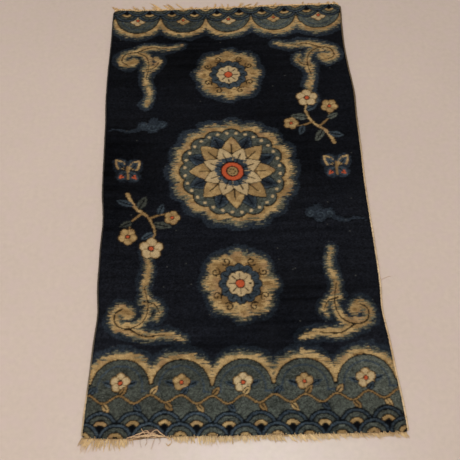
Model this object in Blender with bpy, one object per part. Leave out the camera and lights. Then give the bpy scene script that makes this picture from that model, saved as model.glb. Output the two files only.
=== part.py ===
# A small antique Chinese pile rug that lies flat on a floor, as five pieces: the knotted field,
# an overcast cord along each side, and a woven strip with its fringe of warp ends at the foot and
# at the head. Metres, +Z up. The origin is the middle of the underside, and +Y runs to the head.

import math
import random

import bmesh
import bpy
from mathutils import Vector

# Driving dimensions
RUG_WIDTH = 0.680
RUG_LENGTH = 1.280
PILE_TOP = 0.0085
PILE_EDGE_HEIGHT = 0.0045
RIM_ROUND = 0.006
HEAD_CORNER = 0.014
FOOT_CORNER = 0.006
SEAT_GAP = 0.0003
MM = 0.001
UP = Vector((0.0, 0.0, 1.0))

# How far the real outline lies outside the plain rectangle, in millimetres.
# Columns: share of the length from the foot, left side out, right side out
SIDE_BOWS = (
    (0.000, 3.0, 2.0),
    (0.050, 0.5, 0.0),
    (0.110, -4.5, -5.0),
    (0.165, -8.0, -8.5),
    (0.220, -13.0, -13.5),
    (0.265, -8.5, -9.0),
    (0.345, -7.5, -7.5),
    (0.420, -9.0, -8.0),
    (0.485, -2.0, -7.5),
    (0.580, 1.0, -3.5),
    (0.660, 3.5, -1.5),
    (0.735, 7.5, 2.0),
    (0.810, 7.5, -3.5),
    (0.890, 5.5, -5.0),
    (1.000, 5.0, 2.5),
)
# Columns: share of the width from the left, foot end out, head end out
END_BOWS = (
    (0.00, -6.0, -4.0),
    (0.12, -2.0, -9.0),
    (0.28, -3.0, -8.0),
    (0.50, -1.0, -4.0),
    (0.68, 0.0, 0.0),
    (0.86, 1.0, 3.0),
    (1.00, 2.0, 5.0),
)
# Soft swells that cross the pile. Columns: share of the length, share of the width at the middle,
# height in millimetres, reach along and reach across in millimetres
SWELLS = (
    (0.06, 0.20, 0.7, 45.0, 130.0),
    (0.22, 0.50, 1.0, 22.0, 420.0),
    (0.33, 0.15, -0.6, 60.0, 150.0),
    (0.45, 0.85, 0.6, 40.0, 160.0),
    (0.49, 0.30, 0.8, 26.0, 300.0),
    (0.62, 0.60, -0.5, 90.0, 220.0),
    (0.78, 0.25, 0.6, 50.0, 200.0),
    (0.93, 0.75, 0.7, 40.0, 180.0),
)

# Grid lines of the field: some close to each edge, the rest evenly spaced
RIM_LINES = (0.0, 0.002, 0.006, 0.014)
LINES_ACROSS = 14
LINES_ALONG = 40

# Overcast side cords
LEFT_CORD_RADIUS = 0.0019
RIGHT_CORD_RADIUS = 0.0026
CORD_SIDES = 8
CORD_INSET = 0.001
TANGENT_STEP = 0.001

# Woven end strips and their fringe
STRIP_DEPTH = 0.0045
STRIP_HEIGHT = 0.0024
STRIP_FOOT_INSET = 0.007
STRIP_HEAD_INSET = 0.015
LOCKS_PER_END = 110
LOCK_FILL = 0.62
LOCK_FILL_SPREAD = 0.10
LENGTH_SPREAD = (0.72, 1.12)
LEAN_SPREAD = 0.035
# Columns of a fringe: share of the width from the left, lock length in millimetres, lean in
# millimetres sideways for each millimetre out (positive leans to the right)
FOOT_FRINGE = (
    (0.00, 27.0, -0.38),
    (0.06, 24.0, -0.20),
    (0.14, 21.0, 0.05),
    (0.22, 13.0, 0.18),
    (0.34, 16.0, 0.05),
    (0.50, 17.0, -0.08),
    (0.66, 15.0, 0.06),
    (0.82, 13.0, 0.14),
    (0.94, 12.0, 0.20),
    (1.00, 15.0, 0.42),
)
HEAD_FRINGE = (
    (0.00, 13.0, -0.95),
    (0.08, 15.0, -0.80),
    (0.17, 11.0, -0.60),
    (0.26, 22.0, -0.85),
    (0.38, 20.0, -0.70),
    (0.50, 17.0, -0.55),
    (0.64, 19.0, -0.60),
    (0.78, 15.0, -0.30),
    (0.90, 20.0, -0.10),
    (1.00, 16.0, 0.25),
)
# Sections of a lock. Columns: share of its length, share of its root's width and height
LOCK_SECTIONS = (
    (0.50, 0.86, 0.78),
    (1.00, 0.34, 0.36),
)

# Materials. Columns: linear red, green and blue, and roughness
WOOL_INDIGO = (0.010, 0.016, 0.033, 0.92)
WOOL_STRAW = (0.36, 0.25, 0.12, 0.88)
COTTON_WARP = (0.47, 0.36, 0.20, 0.90)


def clear_scene():
    for item in list(bpy.data.objects):
        bpy.data.objects.remove(item)


def fabric(name, look):
    material = bpy.data.materials.new(name)
    material.use_nodes = True
    surface = material.node_tree.nodes["Principled BSDF"]
    surface.inputs["Base Color"].default_value = (*look[:3], 1.0)
    surface.inputs["Roughness"].default_value = look[3]
    surface.inputs["Metallic"].default_value = 0.0
    return material


def read_table(rows, share, column):
    """A smooth curve through one column of a table, read at a share from 0 to 1."""
    last = len(rows) - 1
    row = 0
    while row < last - 1 and share > rows[row + 1][0]:
        row += 1
    before, start, end, after = (rows[min(max(row + step, 0), last)] for step in (-1, 0, 1, 2))
    span = end[0] - start[0]
    t = min(max((share - start[0]) / span, 0.0), 1.0)
    slope_start = (end[column] - before[column]) / (end[0] - before[0]) * span
    slope_end = (after[column] - start[column]) / (after[0] - start[0]) * span
    return (
        (2 * t**3 - 3 * t**2 + 1) * start[column]
        + (t**3 - 2 * t**2 + t) * slope_start
        + (3 * t**2 - 2 * t**3) * end[column]
        + (t**3 - t**2) * slope_end
    )


def left_edge(along):
    return -RUG_WIDTH / 2 - read_table(SIDE_BOWS, along, 1) * MM


def right_edge(along):
    return RUG_WIDTH / 2 + read_table(SIDE_BOWS, along, 2) * MM


def foot_edge(across):
    return -RUG_LENGTH / 2 - read_table(END_BOWS, across, 1) * MM


def head_edge(across):
    return RUG_LENGTH / 2 + read_table(END_BOWS, across, 2) * MM


def round_corner(side_inset, end_inset, radius):
    """Bends a square corner to an arc. Takes and returns the distances from the two edges."""
    if side_inset >= radius or end_inset >= radius:
        return side_inset, end_inset
    a = 1 - side_inset / radius
    b = 1 - end_inset / radius
    return (
        radius * (1 - a * math.sqrt(1 - b * b / 2)),
        radius * (1 - b * math.sqrt(1 - a * a / 2)),
    )


def plan(across, along):
    """The point of the rug at a share of its width from the left and of its length from the foot."""
    side_inset = min(across, 1 - across) * RUG_WIDTH
    end_inset = min(along, 1 - along) * RUG_LENGTH
    radius = FOOT_CORNER if along < 0.5 else HEAD_CORNER
    side_inset, end_inset = round_corner(side_inset, end_inset, radius)
    across = side_inset / RUG_WIDTH if across < 0.5 else 1 - side_inset / RUG_WIDTH
    along = end_inset / RUG_LENGTH if along < 0.5 else 1 - end_inset / RUG_LENGTH
    left, right = left_edge(along), right_edge(along)
    foot, head = foot_edge(across), head_edge(across)
    return left + (right - left) * across, foot + (head - foot) * along


def pile_height(across, along):
    """The top of the pile: rounded at the rim, with soft swells further in."""
    height = PILE_TOP
    for middle_along, middle_across, swell, reach_along, reach_across in SWELLS:
        far_along = (along - middle_along) * RUG_LENGTH / (reach_along * MM)
        far_across = (across - middle_across) * RUG_WIDTH / (reach_across * MM)
        height += swell * MM * math.exp(-(far_along**2) - far_across**2)
    side_inset = min(across, 1 - across) * RUG_WIDTH
    end_inset = min(along, 1 - along) * RUG_LENGTH
    for inset in (side_inset, end_inset):
        short = max(0.0, 1 - inset / RIM_ROUND)
        height = PILE_EDGE_HEIGHT + (height - PILE_EDGE_HEIGHT) * math.sqrt(1 - short**2)
    return height


def grid_shares(length, lines):
    """Shares from 0 to 1 of a side of that length, closer together near both ends."""
    near = [inset / length for inset in RIM_LINES]
    step = (1 - 2 * near[-1]) / lines
    middle = [near[-1] + step * line for line in range(1, lines)]
    return near + middle + [1 - share for share in reversed(near)]


ACROSS_SHARES = grid_shares(RUG_WIDTH, LINES_ACROSS)
ALONG_SHARES = grid_shares(RUG_LENGTH, LINES_ALONG)


def end_wall(edge_at, share):
    """Where the field's end wall really runs: straight between the grid lines."""
    line = max(1, sum(1 for near in ACROSS_SHARES[:-1] if near < share))
    start, end = ACROSS_SHARES[line - 1], ACROSS_SHARES[line]
    t = (share - start) / (end - start)
    return edge_at(start) * (1 - t) + edge_at(end) * t


def new_object(name, bm, material, smooth_below=math.radians(40)):
    bmesh.ops.recalc_face_normals(bm, faces=bm.faces[:])
    mesh = bpy.data.meshes.new(name)
    bm.to_mesh(mesh)
    bm.free()
    mesh.shade_smooth()
    mesh.set_sharp_from_angle(angle=smooth_below)
    mesh.materials.append(material)
    piece = bpy.data.objects.new(name, mesh)
    bpy.context.scene.collection.objects.link(piece)
    return piece


def knotted_field(material):
    """One flat slab with the rug's own outline, a rounded rim and an uneven top."""
    bm = bmesh.new()
    bmesh.ops.create_grid(
        bm,
        x_segments=len(ACROSS_SHARES) - 1,
        y_segments=len(ALONG_SHARES) - 1,
        size=0.5,
    )
    for vertex in bm.verts:
        column = round((vertex.co.x + 0.5) * (len(ACROSS_SHARES) - 1))
        row = round((vertex.co.y + 0.5) * (len(ALONG_SHARES) - 1))
        across, along = ACROSS_SHARES[column], ALONG_SHARES[row]
        vertex.co = (*plan(across, along), pile_height(across, along))
    rim = [edge for edge in bm.edges if edge.is_boundary]
    wall = bmesh.ops.extrude_edge_only(bm, edges=rim)["geom"]
    for vertex in (item for item in wall if isinstance(item, bmesh.types.BMVert)):
        vertex.co.z = 0.0
    sole_edges = [item for item in wall if isinstance(item, bmesh.types.BMEdge)]
    bmesh.ops.contextual_create(bm, geom=[edge for edge in sole_edges if edge.is_boundary])
    return new_object("pile_field", bm, material)


def outline_frame(across, along):
    """The point of a side edge there, and the direction that points out of the rug."""
    step = TANGENT_STEP
    ahead = Vector((*plan(across, min(along + step, 1.0)), 0.0))
    behind = Vector((*plan(across, max(along - step, 0.0)), 0.0))
    run = (ahead - behind).normalized()
    out = Vector((-run.y, run.x, 0.0)) if across < 0.5 else Vector((run.y, -run.x, 0.0))
    return Vector((*plan(across, along), 0.0)), out


def sweep(bm, sections):
    """A closed bar through a list of sections, each a list of the same number of corners. Returns
    the corners of each section as vertices."""
    first = [bm.verts.new(corner) for corner in sections[0]]
    face = bm.faces.new(first)
    rings = [first]
    for section in sections[1:]:
        places = {vertex: index for index, vertex in enumerate(rings[-1])}
        before = list(face.verts)
        face = bmesh.ops.extrude_discrete_faces(bm, faces=[face])["faces"][0]
        ring = [None] * len(section)
        for old, new in zip(before, face.verts):
            ring[places[old]] = new
            new.co = section[places[old]]
        rings.append(ring)
    bm.faces.new(first)
    return rings


def side_cord(name, across, radius, material):
    """The overcast edge: a round cord, with a flat facet on the floor, that follows the side."""
    first = CORD_INSET / RUG_LENGTH
    last = 1 - first
    half_facet = math.pi / CORD_SIDES
    sole = radius * math.cos(half_facet)
    angles = [2 * math.pi * side / CORD_SIDES + half_facet for side in range(CORD_SIDES)]
    stations = [share for share in ALONG_SHARES if first < share < last]
    sections = []
    for station in stations:
        edge, out = outline_frame(across, station)
        middle = edge + out * (sole + SEAT_GAP) + Vector((0.0, 0.0, sole))
        sections.append(
            [middle + radius * (out * math.cos(a) + UP * math.sin(a)) for a in angles]
        )
    bm = bmesh.new()
    sweep(bm, sections)
    return new_object(name, bm, material)


def lock_roots(across_start, across_end, seed):
    """The fringe's locks along a strip: the shares of the width where each one starts and ends."""
    spread = random.Random(seed)
    pitch = (across_end - across_start) / LOCKS_PER_END
    roots = []
    for lock in range(LOCKS_PER_END):
        fill = LOCK_FILL + LOCK_FILL_SPREAD * spread.uniform(-1, 1)
        middle = across_start + pitch * (lock + 0.5)
        roots.append((middle - pitch * fill / 2, middle + pitch * fill / 2))
    return roots


def lock_sizes(roots, table, seed):
    """The length and the lean of each lock, from its fringe's table and a little chance."""
    spread = random.Random(seed)
    sizes = []
    for start, end in roots:
        share = (start + end) / 2
        length = read_table(table, share, 1) * MM * spread.uniform(*LENGTH_SPREAD)
        lean = read_table(table, share, 2) + LEAN_SPREAD * spread.uniform(-1, 1)
        sizes.append((length, lean))
    return sizes


def end_fringe(name, at_head, table, inset, seed, material):
    """A narrow woven strip along one end. Its outer wall runs out into the locks of warp ends."""
    outward = 1 if at_head else -1
    edge_at = head_edge if at_head else foot_edge
    left, right = left_edge(at_head), right_edge(at_head)
    roots = lock_roots(inset / RUG_WIDTH, 1 - inset / RUG_WIDTH, seed)
    sections = []
    for share in (side for root in roots for side in root):
        x = left + (right - left) * share
        near = end_wall(edge_at, share) + outward * SEAT_GAP
        far = near + outward * STRIP_DEPTH
        sections.append(
            [(x, near, 0.0), (x, far, 0.0), (x, far, STRIP_HEIGHT), (x, near, STRIP_HEIGHT)]
        )
    bm = bmesh.new()
    rings = sweep(bm, sections)
    for lock, (length, lean) in enumerate(lock_sizes(roots, table, seed + 1)):
        start, end = rings[2 * lock], rings[2 * lock + 1]
        outer_wall = bm.faces.get([start[1], start[2], end[2], end[1]])
        grow_lock(bm, outer_wall, outward, length, lean)
    return new_object(name, bm, material)


def grow_lock(bm, wall, outward, length, lean):
    """Draws one lock out of the strip, flat on the floor and thinner towards its tip."""
    root = wall.calc_center_median()
    width = max(vertex.co.x for vertex in wall.verts) - min(vertex.co.x for vertex in wall.verts)
    corners = {
        vertex: (1 if vertex.co.x > root.x else -1, 1 if vertex.co.z > root.z else 0)
        for vertex in wall.verts
    }
    face = wall
    for share, wide, high in LOCK_SECTIONS:
        before = list(face.verts)
        face = bmesh.ops.extrude_discrete_faces(bm, faces=[face])["faces"][0]
        corners = {new: corners[old] for old, new in zip(before, face.verts)}
        out = length * share
        for vertex, (side, top) in corners.items():
            vertex.co.x = root.x + lean * out + side * width * wide / 2
            vertex.co.y = root.y + outward * out
            vertex.co.z = top * STRIP_HEIGHT * high


def build():
    clear_scene()
    indigo = fabric("indigo_wool_pile", WOOL_INDIGO)
    left_straw = fabric("left_straw_overcasting", WOOL_STRAW)
    right_straw = fabric("right_straw_overcasting", WOOL_STRAW)
    foot_cotton = fabric("foot_cotton_warp", COTTON_WARP)
    head_cotton = fabric("head_cotton_warp", COTTON_WARP)
    knotted_field(indigo)
    side_cord("selvedge_left", 0.0, LEFT_CORD_RADIUS, left_straw)
    side_cord("selvedge_right", 1.0, RIGHT_CORD_RADIUS, right_straw)
    end_fringe("fringe_foot", False, FOOT_FRINGE, STRIP_FOOT_INSET, 11, foot_cotton)
    end_fringe("fringe_head", True, HEAD_FRINGE, STRIP_HEAD_INSET, 23, head_cotton)


build()
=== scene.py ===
# %% [markdown]
# # A small Chinese pile rug
# The rug is a knotted wool pile on a cotton foundation. Its sides are overcast with straw yarn, and
# its warps leave each end as a short worn fringe. The CAD model gives the true outline and size of
# each of those five parts. This script loads it as a fixed frame, and dresses each part in yarn.

# %% Load the frame
import math

import bmesh
import bpy
import numpy as np
from mathutils import Matrix, Vector


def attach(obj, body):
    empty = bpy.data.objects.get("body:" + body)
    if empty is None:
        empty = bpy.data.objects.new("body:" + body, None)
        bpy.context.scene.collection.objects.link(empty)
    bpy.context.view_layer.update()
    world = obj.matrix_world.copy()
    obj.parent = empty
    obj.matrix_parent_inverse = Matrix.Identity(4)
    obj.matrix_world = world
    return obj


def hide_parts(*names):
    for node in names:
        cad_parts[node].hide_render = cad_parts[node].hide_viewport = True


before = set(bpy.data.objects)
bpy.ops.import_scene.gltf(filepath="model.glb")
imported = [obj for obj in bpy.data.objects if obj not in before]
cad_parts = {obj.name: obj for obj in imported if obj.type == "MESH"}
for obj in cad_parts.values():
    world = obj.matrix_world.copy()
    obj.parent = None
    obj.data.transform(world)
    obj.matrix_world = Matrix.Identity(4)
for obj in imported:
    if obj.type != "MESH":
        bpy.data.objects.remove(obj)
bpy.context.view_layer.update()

MM = 0.001
BODY = "root"

# %% [markdown]
# ## The camera
# The photograph looks down on the rug from its foot, held a little to the left and turned by two
# degrees. The lens and the place were worked out from the four corners of the pile and the rug's
# real size. A camera could be aimed by eye, but then the outline would never fall where the
# photograph has it.

# %% Camera
CAMERA_PLACE = Vector((-0.047, -0.947, 1.427))
CAMERA_DOWN = math.radians(60.48)
CAMERA_TURN = math.radians(2.09)
CAMERA_ROLL = math.radians(0.36)
CAMERA_LENS = 51.65
SENSOR = 36.0
UP = Vector((0.0, 0.0, 1.0))


def make_camera():
    lens = bpy.data.cameras.new("camera")
    lens.lens = CAMERA_LENS
    lens.sensor_width = SENSOR
    camera = bpy.data.objects.new("camera", lens)
    bpy.context.scene.collection.objects.link(camera)
    level = Vector((math.sin(CAMERA_TURN), math.cos(CAMERA_TURN), 0.0))
    ahead = level * math.cos(CAMERA_DOWN) - UP * math.sin(CAMERA_DOWN)
    side = ahead.cross(UP).normalized()
    side = side * math.cos(CAMERA_ROLL) + side.cross(ahead) * math.sin(CAMERA_ROLL)
    axes = Matrix((side, side.cross(ahead), -ahead)).transposed()
    camera.matrix_world = Matrix.Translation(CAMERA_PLACE) @ axes.to_4x4()
    bpy.context.scene.camera = camera
    return camera


camera = make_camera()
print("camera at", [round(value, 3) for value in camera.location], "lens", CAMERA_LENS)

# %% [markdown]
# ## The rug's own outline
# A hand-made rug is never a rectangle: this one is drawn in at a third of its length, and its ends
# bow. The CAD model bends a plain rectangle by these measured tables, and the pieces here must lie
# exactly where its solids are, so the same tables and the same smooth curve are repeated. NumPy
# reads the curve at all corners of the pile in one go, where a loop would take a minute.

# %% Outline tables, as in the CAD model
RUG_WIDTH = 0.680
RUG_LENGTH = 1.280
PILE_TOP = 0.0085
PILE_EDGE_HEIGHT = 0.0045
RIM_ROUND = 0.006
HEAD_CORNER = 0.014
FOOT_CORNER = 0.006
SEAT_GAP = 0.0003
# Columns: share of the length from the foot, left side out, right side out, in millimetres
SIDE_BOWS = (
    (0.000, 3.0, 2.0),
    (0.050, 0.5, 0.0),
    (0.110, -4.5, -5.0),
    (0.165, -8.0, -8.5),
    (0.220, -13.0, -13.5),
    (0.265, -8.5, -9.0),
    (0.345, -7.5, -7.5),
    (0.420, -9.0, -8.0),
    (0.485, -2.0, -7.5),
    (0.580, 1.0, -3.5),
    (0.660, 3.5, -1.5),
    (0.735, 7.5, 2.0),
    (0.810, 7.5, -3.5),
    (0.890, 5.5, -5.0),
    (1.000, 5.0, 2.5),
)
# Columns: share of the width from the left, foot end out, head end out, in millimetres
END_BOWS = (
    (0.00, -6.0, -4.0),
    (0.12, -2.0, -9.0),
    (0.28, -3.0, -8.0),
    (0.50, -1.0, -4.0),
    (0.68, 0.0, 0.0),
    (0.86, 1.0, 3.0),
    (1.00, 2.0, 5.0),
)
# Columns: share of the length, share of the width, height, reach along and across, in millimetres
SWELLS = (
    (0.06, 0.20, 0.7, 45.0, 130.0),
    (0.22, 0.50, 1.0, 22.0, 420.0),
    (0.33, 0.15, -0.6, 60.0, 150.0),
    (0.45, 0.85, 0.6, 40.0, 160.0),
    (0.49, 0.30, 0.8, 26.0, 300.0),
    (0.62, 0.60, -0.5, 90.0, 220.0),
    (0.78, 0.25, 0.6, 50.0, 200.0),
    (0.93, 0.75, 0.7, 40.0, 180.0),
)


def read_table(rows, share, column):
    """A smooth curve through one column of a table, read at many shares from 0 to 1."""
    table = np.array(rows)
    share = np.asarray(share, dtype=float)
    row = np.clip(np.searchsorted(table[:, 0], share) - 1, 0, len(table) - 2)
    before, start = table[np.maximum(row - 1, 0)], table[row]
    end, after = table[row + 1], table[np.minimum(row + 2, len(table) - 1)]
    span = end[..., 0] - start[..., 0]
    t = np.clip((share - start[..., 0]) / span, 0, 1)
    slope_start = (end[..., column] - before[..., column]) / (end[..., 0] - before[..., 0]) * span
    slope_end = (after[..., column] - start[..., column]) / (after[..., 0] - start[..., 0]) * span
    return (
        (2 * t**3 - 3 * t**2 + 1) * start[..., column]
        + (t**3 - 2 * t**2 + t) * slope_start
        + (3 * t**2 - 2 * t**3) * end[..., column]
        + (t**3 - t**2) * slope_end
    )


# %% From a share of the rug to a place on the floor
def edges_at(across, along):
    """The left, right, foot and head edge at those shares of the width and the length."""
    left = -RUG_WIDTH / 2 - read_table(SIDE_BOWS, along, 1) * MM
    right = RUG_WIDTH / 2 + read_table(SIDE_BOWS, along, 2) * MM
    foot = -RUG_LENGTH / 2 - read_table(END_BOWS, across, 1) * MM
    head = RUG_LENGTH / 2 + read_table(END_BOWS, across, 2) * MM
    return left, right, foot, head


def plan(across, along):
    """Places x and y of the rug, with its corners rounded."""
    side_inset = np.minimum(across, 1 - across) * RUG_WIDTH
    end_inset = np.minimum(along, 1 - along) * RUG_LENGTH
    radius = np.where(along < 0.5, FOOT_CORNER, HEAD_CORNER)
    corner = (side_inset < radius) & (end_inset < radius)
    a = np.where(corner, 1 - side_inset / radius, 0)
    b = np.where(corner, 1 - end_inset / radius, 0)
    side_inset = np.where(corner, radius * (1 - a * np.sqrt(1 - b * b / 2)), side_inset)
    end_inset = np.where(corner, radius * (1 - b * np.sqrt(1 - a * a / 2)), end_inset)
    across = np.where(across < 0.5, side_inset / RUG_WIDTH, 1 - side_inset / RUG_WIDTH)
    along = np.where(along < 0.5, end_inset / RUG_LENGTH, 1 - end_inset / RUG_LENGTH)
    left, right, foot, head = edges_at(across, along)
    return left + (right - left) * across, foot + (head - foot) * along


def pile_height(across, along):
    """The top of the pile: rounded at the rim, with soft swells further in."""
    height = np.full(np.shape(across), PILE_TOP)
    for middle_along, middle_across, swell, reach_along, reach_across in SWELLS:
        far_along = (along - middle_along) * RUG_LENGTH / (reach_along * MM)
        far_across = (across - middle_across) * RUG_WIDTH / (reach_across * MM)
        height = height + swell * MM * np.exp(-(far_along**2) - far_across**2)
    side_inset = np.minimum(across, 1 - across) * RUG_WIDTH
    end_inset = np.minimum(along, 1 - along) * RUG_LENGTH
    for inset in (side_inset, end_inset):
        short = np.maximum(0.0, 1 - inset / RIM_ROUND)
        height = PILE_EDGE_HEIGHT + (height - PILE_EDGE_HEIGHT) * np.sqrt(1 - short**2)
    return height


waist = read_table(SIDE_BOWS, 0.22, 1)
print("the left side is drawn in by", round(-float(waist), 1), "mm at the waist")

# %% [markdown]
# ## The chart that the weaver ties from
# A pile rug has no brush marks: its picture is a grid of knots, each tied in one dyed yarn, and the
# weaver reads it row by row off a chart. It could be made with a shader of masks, but then a knot
# could be half blue and half straw. So the chart is a grid of whole numbers, one for each knot, and
# each shape on it is a signed distance in millimetres: a knot inside the shape gets its dye.

# %% The grid of knots, and its dyes
COLUMNS = 336
ROWS = 552
KNOTS_A_SQUARE = 2
WIDTH_MM = 680.0
LENGTH_MM = 1280.0
KNOT_MM = LENGTH_MM / ROWS
# Linear red, green and blue of each dye
DYES = {
    "indigo": (0.0050, 0.0056, 0.0078),
    "night": (0.0028, 0.0030, 0.0040),
    "blue": (0.0175, 0.0230, 0.0310),
    "slate": (0.0430, 0.0580, 0.0710),
    "green": (0.0500, 0.0540, 0.0440),
    "drab": (0.1500, 0.1350, 0.0850),
    "umber": (0.2300, 0.1350, 0.0520),
    "straw": (0.5000, 0.3320, 0.1460),
    "ivory": (0.5600, 0.4100, 0.2200),
    "red": (0.5200, 0.0950, 0.0350),
}
DYE_NAMES = list(DYES)
chart = np.zeros((ROWS, COLUMNS), dtype=int)
column_of, row_of = np.meshgrid(np.arange(COLUMNS), np.arange(ROWS))
flat_x = (column_of + 0.5) / COLUMNS * WIDTH_MM - WIDTH_MM / 2
flat_y = (row_of + 0.5) / ROWS * LENGTH_MM - LENGTH_MM / 2
print("chart of", ROWS, "rows by", COLUMNS, "knots,", round(KNOT_MM, 2), "mm a row")

# %% [markdown]
# A loom pulls its warps a little out of true, and no hand counts every knot right. Two slow waves
# bend the coordinates that every motif is drawn in, so that no circle comes out perfect.

# %% The weaver's hand: coordinates that drift
X = flat_x + 2.8 * np.sin(flat_y / 150 + 0.6) + 1.6 * np.sin(flat_y / 47 + flat_x / 210)
Y = flat_y + 3.2 * np.sin(flat_x / 130 + 1.1) + 1.5 * np.sin(flat_x / 41 + flat_y / 190)


def eased(t):
    """From 0 to 1 with a soft start and a soft end."""
    return t * t * (3 - 2 * t)


def soft_noise(reach_across, reach_along, seed):
    """Random values from 0 to 1 for every knot, which change over so many millimetres each way."""
    chance = np.random.default_rng(seed)
    down = (flat_y + LENGTH_MM / 2) / reach_along
    over = (flat_x + WIDTH_MM / 2) / reach_across
    lattice = chance.random((int(down.max()) + 3, int(over.max()) + 3))
    row, column = np.floor(down).astype(int), np.floor(over).astype(int)
    a, b = eased(down - row), eased(over - column)
    low = lattice[row, column] * (1 - b) + lattice[row, column + 1] * b
    high = lattice[row + 1, column] * (1 - b) + lattice[row + 1, column + 1] * b
    return low * (1 - a) + high * a


print("motifs drift by up to", round(float(np.hypot(X - flat_x, Y - flat_y).max()), 1), "mm")

# %% [markdown]
# Where two colours of such a rug melt into each other, the weaver runs the paler yarn out into the
# darker ground in single rows of uneven length. A noise that changes along a row, and not at all
# with the row above, gives those strokes: it is added to the distance, which pushes the border of a
# shape in and out row by row. Past the strokes a few knots are still tied in a mixed, drab yarn.

# %% Tying a shape in one dye, with a plain or a hatched border
def row_noise(reach_across, seed):
    """Random values from -1 to 1 that change along each row, and are new in every row."""
    chance = np.random.default_rng(seed)
    over = (flat_x + WIDTH_MM / 2) / reach_across
    lattice = chance.uniform(-1, 1, (ROWS, int(over.max()) + 3))
    column = np.floor(over).astype(int)
    t = eased(over - column)
    return lattice[row_of, column] * (1 - t) + lattice[row_of, column + 1] * t


strokes = 0.75 * row_noise(14.0, 5) + 0.35 * row_noise(44.0, 6)
other_strokes = 0.75 * row_noise(11.0, 7) + 0.35 * row_noise(36.0, 8)
pepper = 0.5 + 0.5 * row_noise(5.0, 9)
drift = 2 * soft_noise(34.0, 26.0, 10) - 1


# The steps of a glow: how far past the shape each begins, and how far its strokes run. Both are
# shares of the glow's whole reach. Drifts are in millimetres
BLUE_FROM, BLUE_STROKES, BLUE_DRIFT = 0.90, 0.16, 5
GREEN_FROM, GREEN_RISE, GREEN_SHARE = 0.70, 0.95, 0.60
DRAB_FROM, DRAB_STROKES = 0.14, 0.58
STRAW_INSET, STRAW_STROKES, STRAW_DRIFT = 0.04, 0.46, 3
UMBER_INSET, UMBER_STROKES, UMBER_DRIFT = 0.72, 0.50, 4


def tie(distance, dye, fray=0.0):
    """Ties the dye in every knot inside the shape. A frayed border runs out in strokes of that reach."""
    chart[distance + fray * strokes < 0] = DYE_NAMES.index(dye)


def glow(distance, reach):
    """Fades a straw shape out into the dark ground: blue, then grey and drab strokes, then straw."""
    tie(distance - BLUE_FROM * reach + BLUE_DRIFT * drift, "blue", BLUE_STROKES * reach)
    fading = np.clip(GREEN_RISE - distance / (GREEN_FROM * reach), 0, 1)
    speckled = (distance < GREEN_FROM * reach) & (pepper < GREEN_SHARE * fading)
    chart[speckled] = DYE_NAMES.index("green")
    drab_edge = distance - DRAB_FROM * reach + DRAB_STROKES * reach * other_strokes
    chart[drab_edge < 0] = DYE_NAMES.index("drab")
    tie(distance + STRAW_INSET * reach + STRAW_DRIFT * drift, "straw", STRAW_STROKES * reach)
    tie(distance + UMBER_INSET * reach + UMBER_DRIFT * drift, "umber", UMBER_STROKES * reach)


# %% Distances to the plain shapes that the motifs are made of
def disc(x, y, radius):
    return np.hypot(X - x, Y - y) - radius


def scallop(x, y, radius, lobes, depth):
    """A round with lobes like a flower's edge. Returns the distance, the radius and the angle."""
    angle = np.arctan2(Y - y, X - x)
    far = np.hypot(X - x, Y - y)
    edge = radius * (1 - depth + depth * np.abs(np.cos(angle * lobes / 2)) ** 0.7)
    return far - edge, far, angle


def leaf(x, y, angle, length, width):
    """A pointed leaf from its stalk's end. Returns the distance, and the places along and across."""
    along = (X - x) * math.cos(angle) + (Y - y) * math.sin(angle)
    across = (Y - y) * math.cos(angle) - (X - x) * math.sin(angle)
    share = np.clip(along / length, 0, 1)
    inside = np.abs(across) - width / 2 * np.sin(np.pi * share**0.8) ** 0.85
    return np.where((along < 0) | (along > length), width, inside), along, across


def vein(along, across, start, end, half=1.6):
    """The thin dark line down a leaf or petal."""
    return np.maximum(np.abs(across) - half, np.maximum(start - along, along - end))


def smooth_line(points, steps=9):
    """A smooth curve through a few points, as short straight pieces."""
    corners = [np.array(point, dtype=float) for point in points]
    corners = [2 * corners[0] - corners[1], *corners, 2 * corners[-1] - corners[-2]]
    line = []
    for p, q, r, s in zip(corners, corners[1:], corners[2:], corners[3:]):
        for t in np.linspace(0, 1, steps, endpoint=False):
            bend = (2 * p - 5 * q + 4 * r - s) * t**2 + (3 * q - p - 3 * r + s) * t**3
            line.append((2 * q + (r - p) * t + bend) / 2)
    return [*line, corners[-2]]


def curl(x, y, start, turns, inner, outer, steps=22):
    """The points of a spiral. Negative turns run clockwise."""
    points = []
    for step in range(steps + 1):
        share = step / steps
        angle = start + turns * 2 * math.pi * share
        radius = inner + (outer - inner) * share
        points.append((x + radius * math.cos(angle), y + radius * math.sin(angle)))
    return points


def stroke(points, first_width, last_width):
    """A band along the points, whose width runs from one value to the other."""
    nearest = np.full(X.shape, LENGTH_MM)
    pieces = len(points) - 1
    for piece, ((ax, ay), (bx, by)) in enumerate(zip(points, points[1:])):
        run_x, run_y = bx - ax, by - ay
        t = ((X - ax) * run_x + (Y - ay) * run_y) / (run_x**2 + run_y**2)
        t = np.clip(t, 0, 1)
        width = first_width + (last_width - first_width) * (piece + t) / pieces
        nearest = np.minimum(nearest, np.hypot(X - ax - t * run_x, Y - ay - t * run_y) - width / 2)
    return nearest


def ring_of(count, radius, x=0.0, y=0.0, turn=0.0):
    """Places evenly round a circle, each with its angle."""
    for step in range(count):
        angle = turn + 2 * math.pi * step / count
        yield x + radius * math.cos(angle), y + radius * math.sin(angle), angle


# %% [markdown]
# ### The design
# The layout is the plain traditional one of three rounds down the middle of a dark field, with
# scrolls in the corners, and sprigs, butterflies and small clouds between them. Each end has a
# scalloped band with a thin vine and waves. The straw shapes are wide and fade out in strokes, as on
# old rugs of this kind.

# %% Petals, blossoms and leaves
OUTLINE = 2.6


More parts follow.
